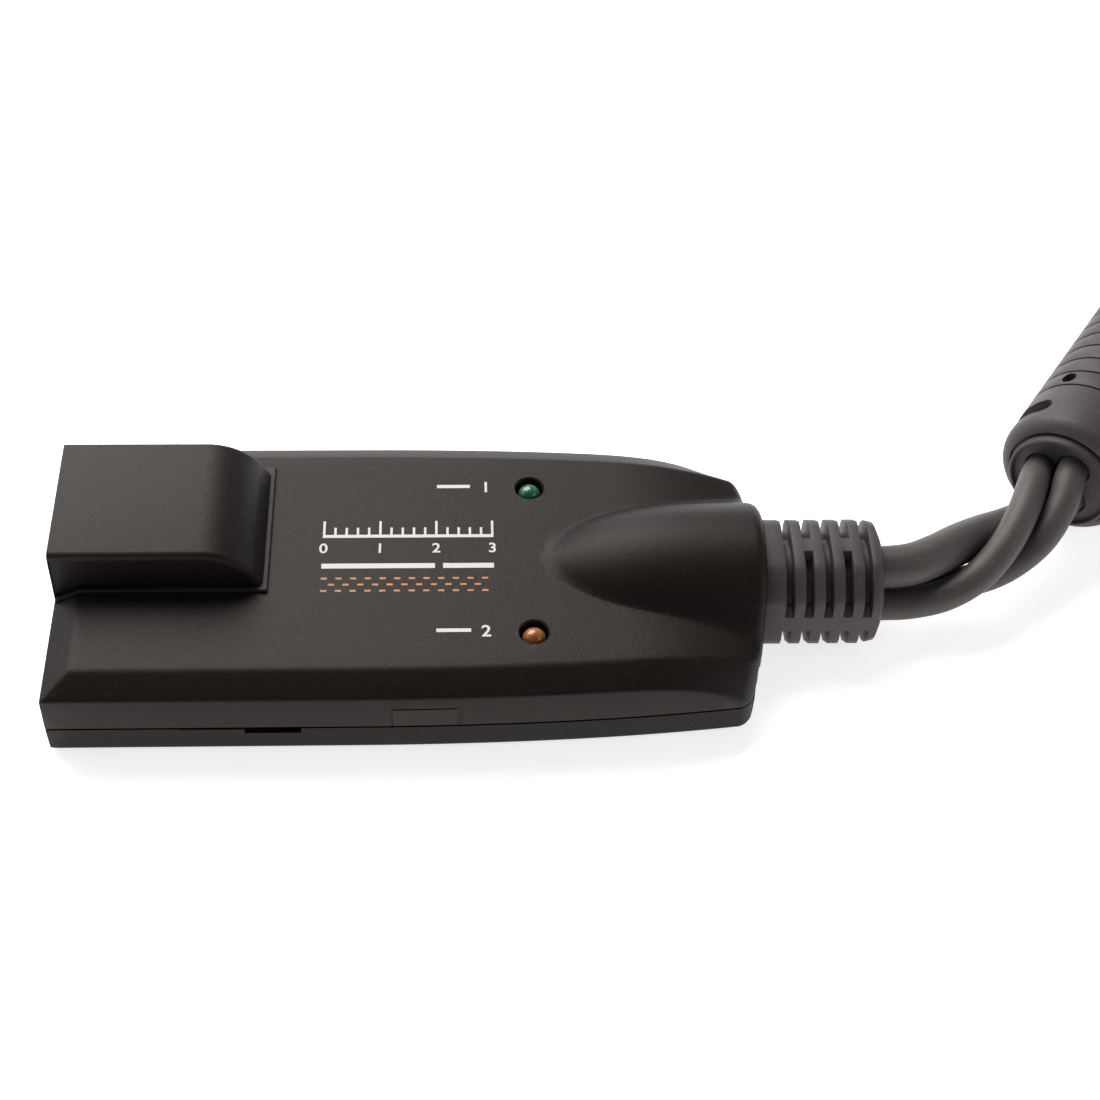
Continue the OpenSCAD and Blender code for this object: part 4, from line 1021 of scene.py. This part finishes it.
def tray_rows(xs, t, low, high, chamfer):
    """Loops of the tray's skin, or of its room with a wall thickness t, from low up to high."""
    rows = []
    for x in xs:
        h = half_w(x) - t
        foot = h - DRAFT_IN
        rise = max(low, low + chamfer - min(x, CASE_L - x))
        edge = max(rise, low + chamfer)
        corners = [(h, high, 0), (foot, edge, 0), (foot - chamfer, rise, 0), (0, rise, 0)]
        loop = rounded_loop(corners, [TRAY_EDGE_R, TRAY_EDGE_R], 8)
        loop += [(y, high) for y in even(-h, h, 12)[1:-1]]
        rows.append([on_pod(x, y, z) for y, z in loop])
    return rows


# Groove between the two shells: its height, its depth, and the gap that its floor leaves
SEAM_W = 0.3
SEAM_DEEP = 0.45
SEAM_GAP = 0.04
# Depth of the notch as a share of the wall, and how far the wider seam runs into it
NOTCH_SHARE = 0.6
SEAM_IN_NOTCH = 0.2
# Chamfers inside the tray and on its rim
ROOM_CHAMFER = 0.45
RIM_CHAMFER = 0.1
# Stations of the tray: the first in its chamfered end, where the even ones start, their numbers
TRAY_FRONT_STATIONS = [0.0, 0.25, 0.5]
TRAY_EVEN_FROM = 3.0
TRAY_STATIONS = 50
TRAY_ROOM_FROM = 4.0
TRAY_ROOM_STATIONS = 24


def lower_shell():
    """Tray with drawn-in sides, a soft foot, the notch in its near edge and the wider seam."""
    skin_xs = TRAY_FRONT_STATIONS + stations(TRAY_EVEN_FROM, CASE_L, TRAY_STATIONS)
    skin = mesh_of("tray", tray_rows(skin_xs, 0.0, 0.0, PART_Z - SEAM_W, FOOT_CHAMFER))
    rim_xs = [SEAM_DEEP] + stations(TRAY_EVEN_FROM, CASE_L - SEAM_DEEP, TRAY_STATIONS)
    rim = mesh_of("rim", tray_rows(rim_xs, SEAM_DEEP, WALL, PART_Z - SEAM_GAP, RIM_CHAMFER))
    skin = joined(skin, [rim], "UNION")
    room_xs = [WALL] + stations(TRAY_ROOM_FROM, INNER_END, TRAY_ROOM_STATIONS)
    room = mesh_of("tray_room", tray_rows(room_xs, WALL, WALL, PART_Z + OVERRUN, ROOM_CHAMFER))
    near_side, outside, above = -CASE_W / 2, -CASE_W / 2 - OVERRUN, PART_Z + OVERRUN
    notch = box_mesh((POD_X + NOTCH_X, outside, PART_Z - NOTCH_Z),
                     (POD_X + NOTCH_X + NOTCH_L, near_side + NOTCH_SHARE * WALL, above))
    seam = box_mesh((POD_X + NOTCH_X - SEAM_L, outside, PART_Z - NOTCH_Z / 3),
                    (POD_X + NOTCH_X + SEAM_IN_NOTCH, near_side + WALL / 4, above))
    body = joined(skin, [room, jack_room(), neck_room(), notch, seam], "DIFFERENCE")
    # The tray takes the darker copy of the ABS: painted shade on its walls
    piece = piece_from("pod_tray", body, SHADED_TRAY_ABS)
    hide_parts("lower_shell")


upper_shell()
lower_shell()


# Pad printed marks: a scale with plain numerals, rows of orange dashes, a mark by each lamp.
# The ink lies on the flat top, a little sunk so that no gap shows, and thickens the numerals by
# INK_SWELL. Each row has its name, shift along X from SCALE_X, place in Y, length and width of a
# mark, count and step
INK_LOW = PLATE_H - 0.01
INK_TOP = PLATE_H + 0.02
INK_SWELL = 0.035
SCALE_X = 32.4
NUMERAL_STEP = 7.0
TICK_ROWS = (("tick_row", 0, 4.0, 0.3, 1.2, 16, 1.4),
             ("long_tick_row", 0, 5.2, 0.3, 1.1, 4, NUMERAL_STEP))
DASH_ROWS = [("dash_row", shift, y, 0.75, 0.3, count, 1.8)
             for shift, y, count in ((0, -3.4, 12), (0.9, -4.4, 11), (0, -5.4, 12))]
# Place, length and width of each bar, and text, place and size of each numeral by a lamp
BARS = ((SCALE_X, 3.5, 21.3, 0.5), (SCALE_X, -1.6, 14.0, 0.8), (SCALE_X + 15.0, -1.6, 6.3, 0.8))
LAMP_BARS = ((46.6, 12.0, 4.2, 0.55), (46.6, -11.9, 4.2, 0.55))
LAMP_NUMERALS = (("1", 52.2, 11.3, 2.5), ("2", 52.0, -12.6, 2.5))


def bar(x, y, length, width):
    """Printed bar from its near left corner."""
    return box_mesh((POD_X + x, y, INK_LOW), (POD_X + x + length, y + width, INK_TOP))


def numeral(text, x, y, size):
    """Plain numeral laid flat on the casing."""
    curve = bpy.data.curves.new("numeral", "FONT")
    curve.body = text
    curve.size = size * MM
    curve.offset = INK_SWELL * MM
    curve.extrude = (INK_TOP - INK_LOW) / 2 * MM
    mesh = baked(placed("numeral", curve), "numeral")
    for vertex in mesh.vertices:
        vertex.co += Vector((POD_X + x, y, (INK_LOW + INK_TOP) / 2)) * MM
    return mesh


def gathered(name, meshes, material):
    """One piece from several meshes."""
    bm = bmesh.new()
    for mesh in meshes:
        bm.from_mesh(mesh)
    piece_from(name, mesh_from(bm, name), material)


def printed_rows(rows, ink):
    """Rows of bars as meshes."""
    return [row_of(name, bar(SCALE_X + shift, y, length, width), ink, count, (step, 0, 0))
            for name, shift, y, length, width, count, step in rows]


def prints():
    """All printed marks, as one white and one orange piece."""
    white = printed_rows(TICK_ROWS, WHITE_INK)
    white += [numeral(str(k), SCALE_X - 0.4 + NUMERAL_STEP * k, 1.0, 2.2) for k in range(4)]
    white += [bar(*place) for place in BARS]
    for lamp_bar, lamp_numeral in zip(LAMP_BARS, LAMP_NUMERALS):
        white += [bar(*lamp_bar), numeral(*lamp_numeral)]
    gathered("white_marks", white, WHITE_INK)
    gathered("orange_dashes", printed_rows(DASH_ROWS, ORANGE_INK), ORANGE_INK)


prints()


# Finishes of the solids that show as packed
FINISHES = {
    TINNED_STEEL: ("jack_shield", "lamp_leads", "crystal_can", "capacitors", "video_plug_shell",
                   "keyboard_plug_shell", "mouse_plug_shell"),
    GOLD_PLATE: ("jack_contacts", "video_plug_pins", "round_plug_pins"),
    CHIP_EPOXY: ("controller_chip", "video_chip", "memory_chip"),
    SOLDER_MASK: ("circuit_board",), SOCKET_PBT: ("jack_housing",), CERAMIC: ("small_parts",),
    HEADER_NYLON: ("wire_header",), WIRE_RED: ("inner_wires",), GREEN_EPOXY: ("online_lamp",),
    AMBER_EPOXY: ("power_lamp",), FERRITE_BLACK: ("ferrite_core",),
    INSERT_BLUE: ("video_plug_insert",), INSERT_PURPLE: ("keyboard_plug_insert",),
    INSERT_GREEN: ("mouse_plug_insert",)}
for finish, nodes in FINISHES.items():
    for node in nodes:
        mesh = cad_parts[node].data
        mesh.materials.clear()
        mesh.materials.append(finish)


# Studio: white table lit a little from below, a softbox behind, a pale horizon and a dim ceiling.
# The sky's strength falls with height and is less in front, and a white band just over the
# horizon keeps the table's far edge from showing. Axis, its range, and the strength at both ends
SKY_RANGES = (("Z", 0.02, 0.4, 0.85, 0.16), ("Y", -0.7, 0.4, 0.5, 1.0),
              ("Z", 0.08, 0.16, 1.0, 0.0))
WHITE = (1.0, 1.0, 1.0, 1.0)
TABLE_TONE = (0.93, 0.93, 0.93, 1.0)
TABLE_GLOW = 0.72
TABLE_REACH = 8.0
TABLE_BELOW_MM = 0.05
LIGHT_TARGET = (0.03, 0.02, 0)
# Name, place and size in metres, and power in watts
LIGHTS = [("back_softbox", (-0.3, 0.68, 0.75), 0.9, 16.0),
          ("left_softbox", (-0.9, 0.2, 0.45), 0.6, 1.5),
          ("right_softbox", (0.8, -0.25, 0.45), 0.6, 1.3)]


def sky():
    """World that glows round the horizon and dims overhead and in front."""
    world = bpy.data.worlds.new("studio")
    bpy.context.scene.world = world
    world.use_nodes = True
    tree = world.node_tree
    way = add_node(tree, "ShaderNodeTexCoord").outputs["Generated"]
    parts = add_node(tree, "ShaderNodeSeparateXYZ", {"Vector": way})
    dim, front, band = [
        add_node(tree, "ShaderNodeMapRange",
                 {"Value": parts.outputs[axis], "From Min": low, "From Max": high,
                  "To Min": first, "To Max": last})
        for axis, low, high, first, last in SKY_RANGES]
    glow = add_node(tree, "ShaderNodeMath", {0: dim.outputs["Result"], 1: front.outputs["Result"]},
                    operation="MULTIPLY")
    glow = add_node(tree, "ShaderNodeMath", {0: glow.outputs[0], 1: band.outputs["Result"]},
                    operation="MAXIMUM")
    background = tree.nodes["Background"].inputs
    background["Color"].default_value = WHITE
    tree.links.new(glow.outputs[0], background["Strength"])


def table():
    """White table just under the part, lit a little from below as on a product photograph."""
    mesh = bpy.data.meshes.new("floor")
    corners = [(-1, -1), (1, -1), (1, 1), (-1, 1)]
    mesh.from_pydata([(x * TABLE_REACH, y * TABLE_REACH, 0) for x, y in corners], [],
                     [(0, 1, 2, 3)])
    material, tree = new_material("white_table")
    shader = add_node(tree, "ShaderNodeBsdfPrincipled",
                      {"Base Color": TABLE_TONE, "Roughness": 0.9, "Specular IOR Level": 0.1,
                       "Emission Color": WHITE, "Emission Strength": TABLE_GLOW})
    add_node(tree, "ShaderNodeOutputMaterial", {"Surface": shader.outputs["BSDF"]})
    mesh.materials.append(material)
    ground = placed("floor", mesh)
    ground.location.z = -TABLE_BELOW_MM * MM


def softboxes():
    """Square area lights, all turned to the part."""
    for name, place, size, power in LIGHTS:
        light = bpy.data.lights.new(name, "AREA")
        light.shape = "SQUARE"
        light.size = size
        light.energy = power
        lamp = placed(name, light)
        lamp.location = place
        aim = Vector(LIGHT_TARGET) - Vector(place)
        lamp.rotation_euler = aim.to_track_quat("-Z", "Y").to_euler()


bpy.context.scene.view_settings.view_transform = "Standard"
sky()
table()
softboxes()
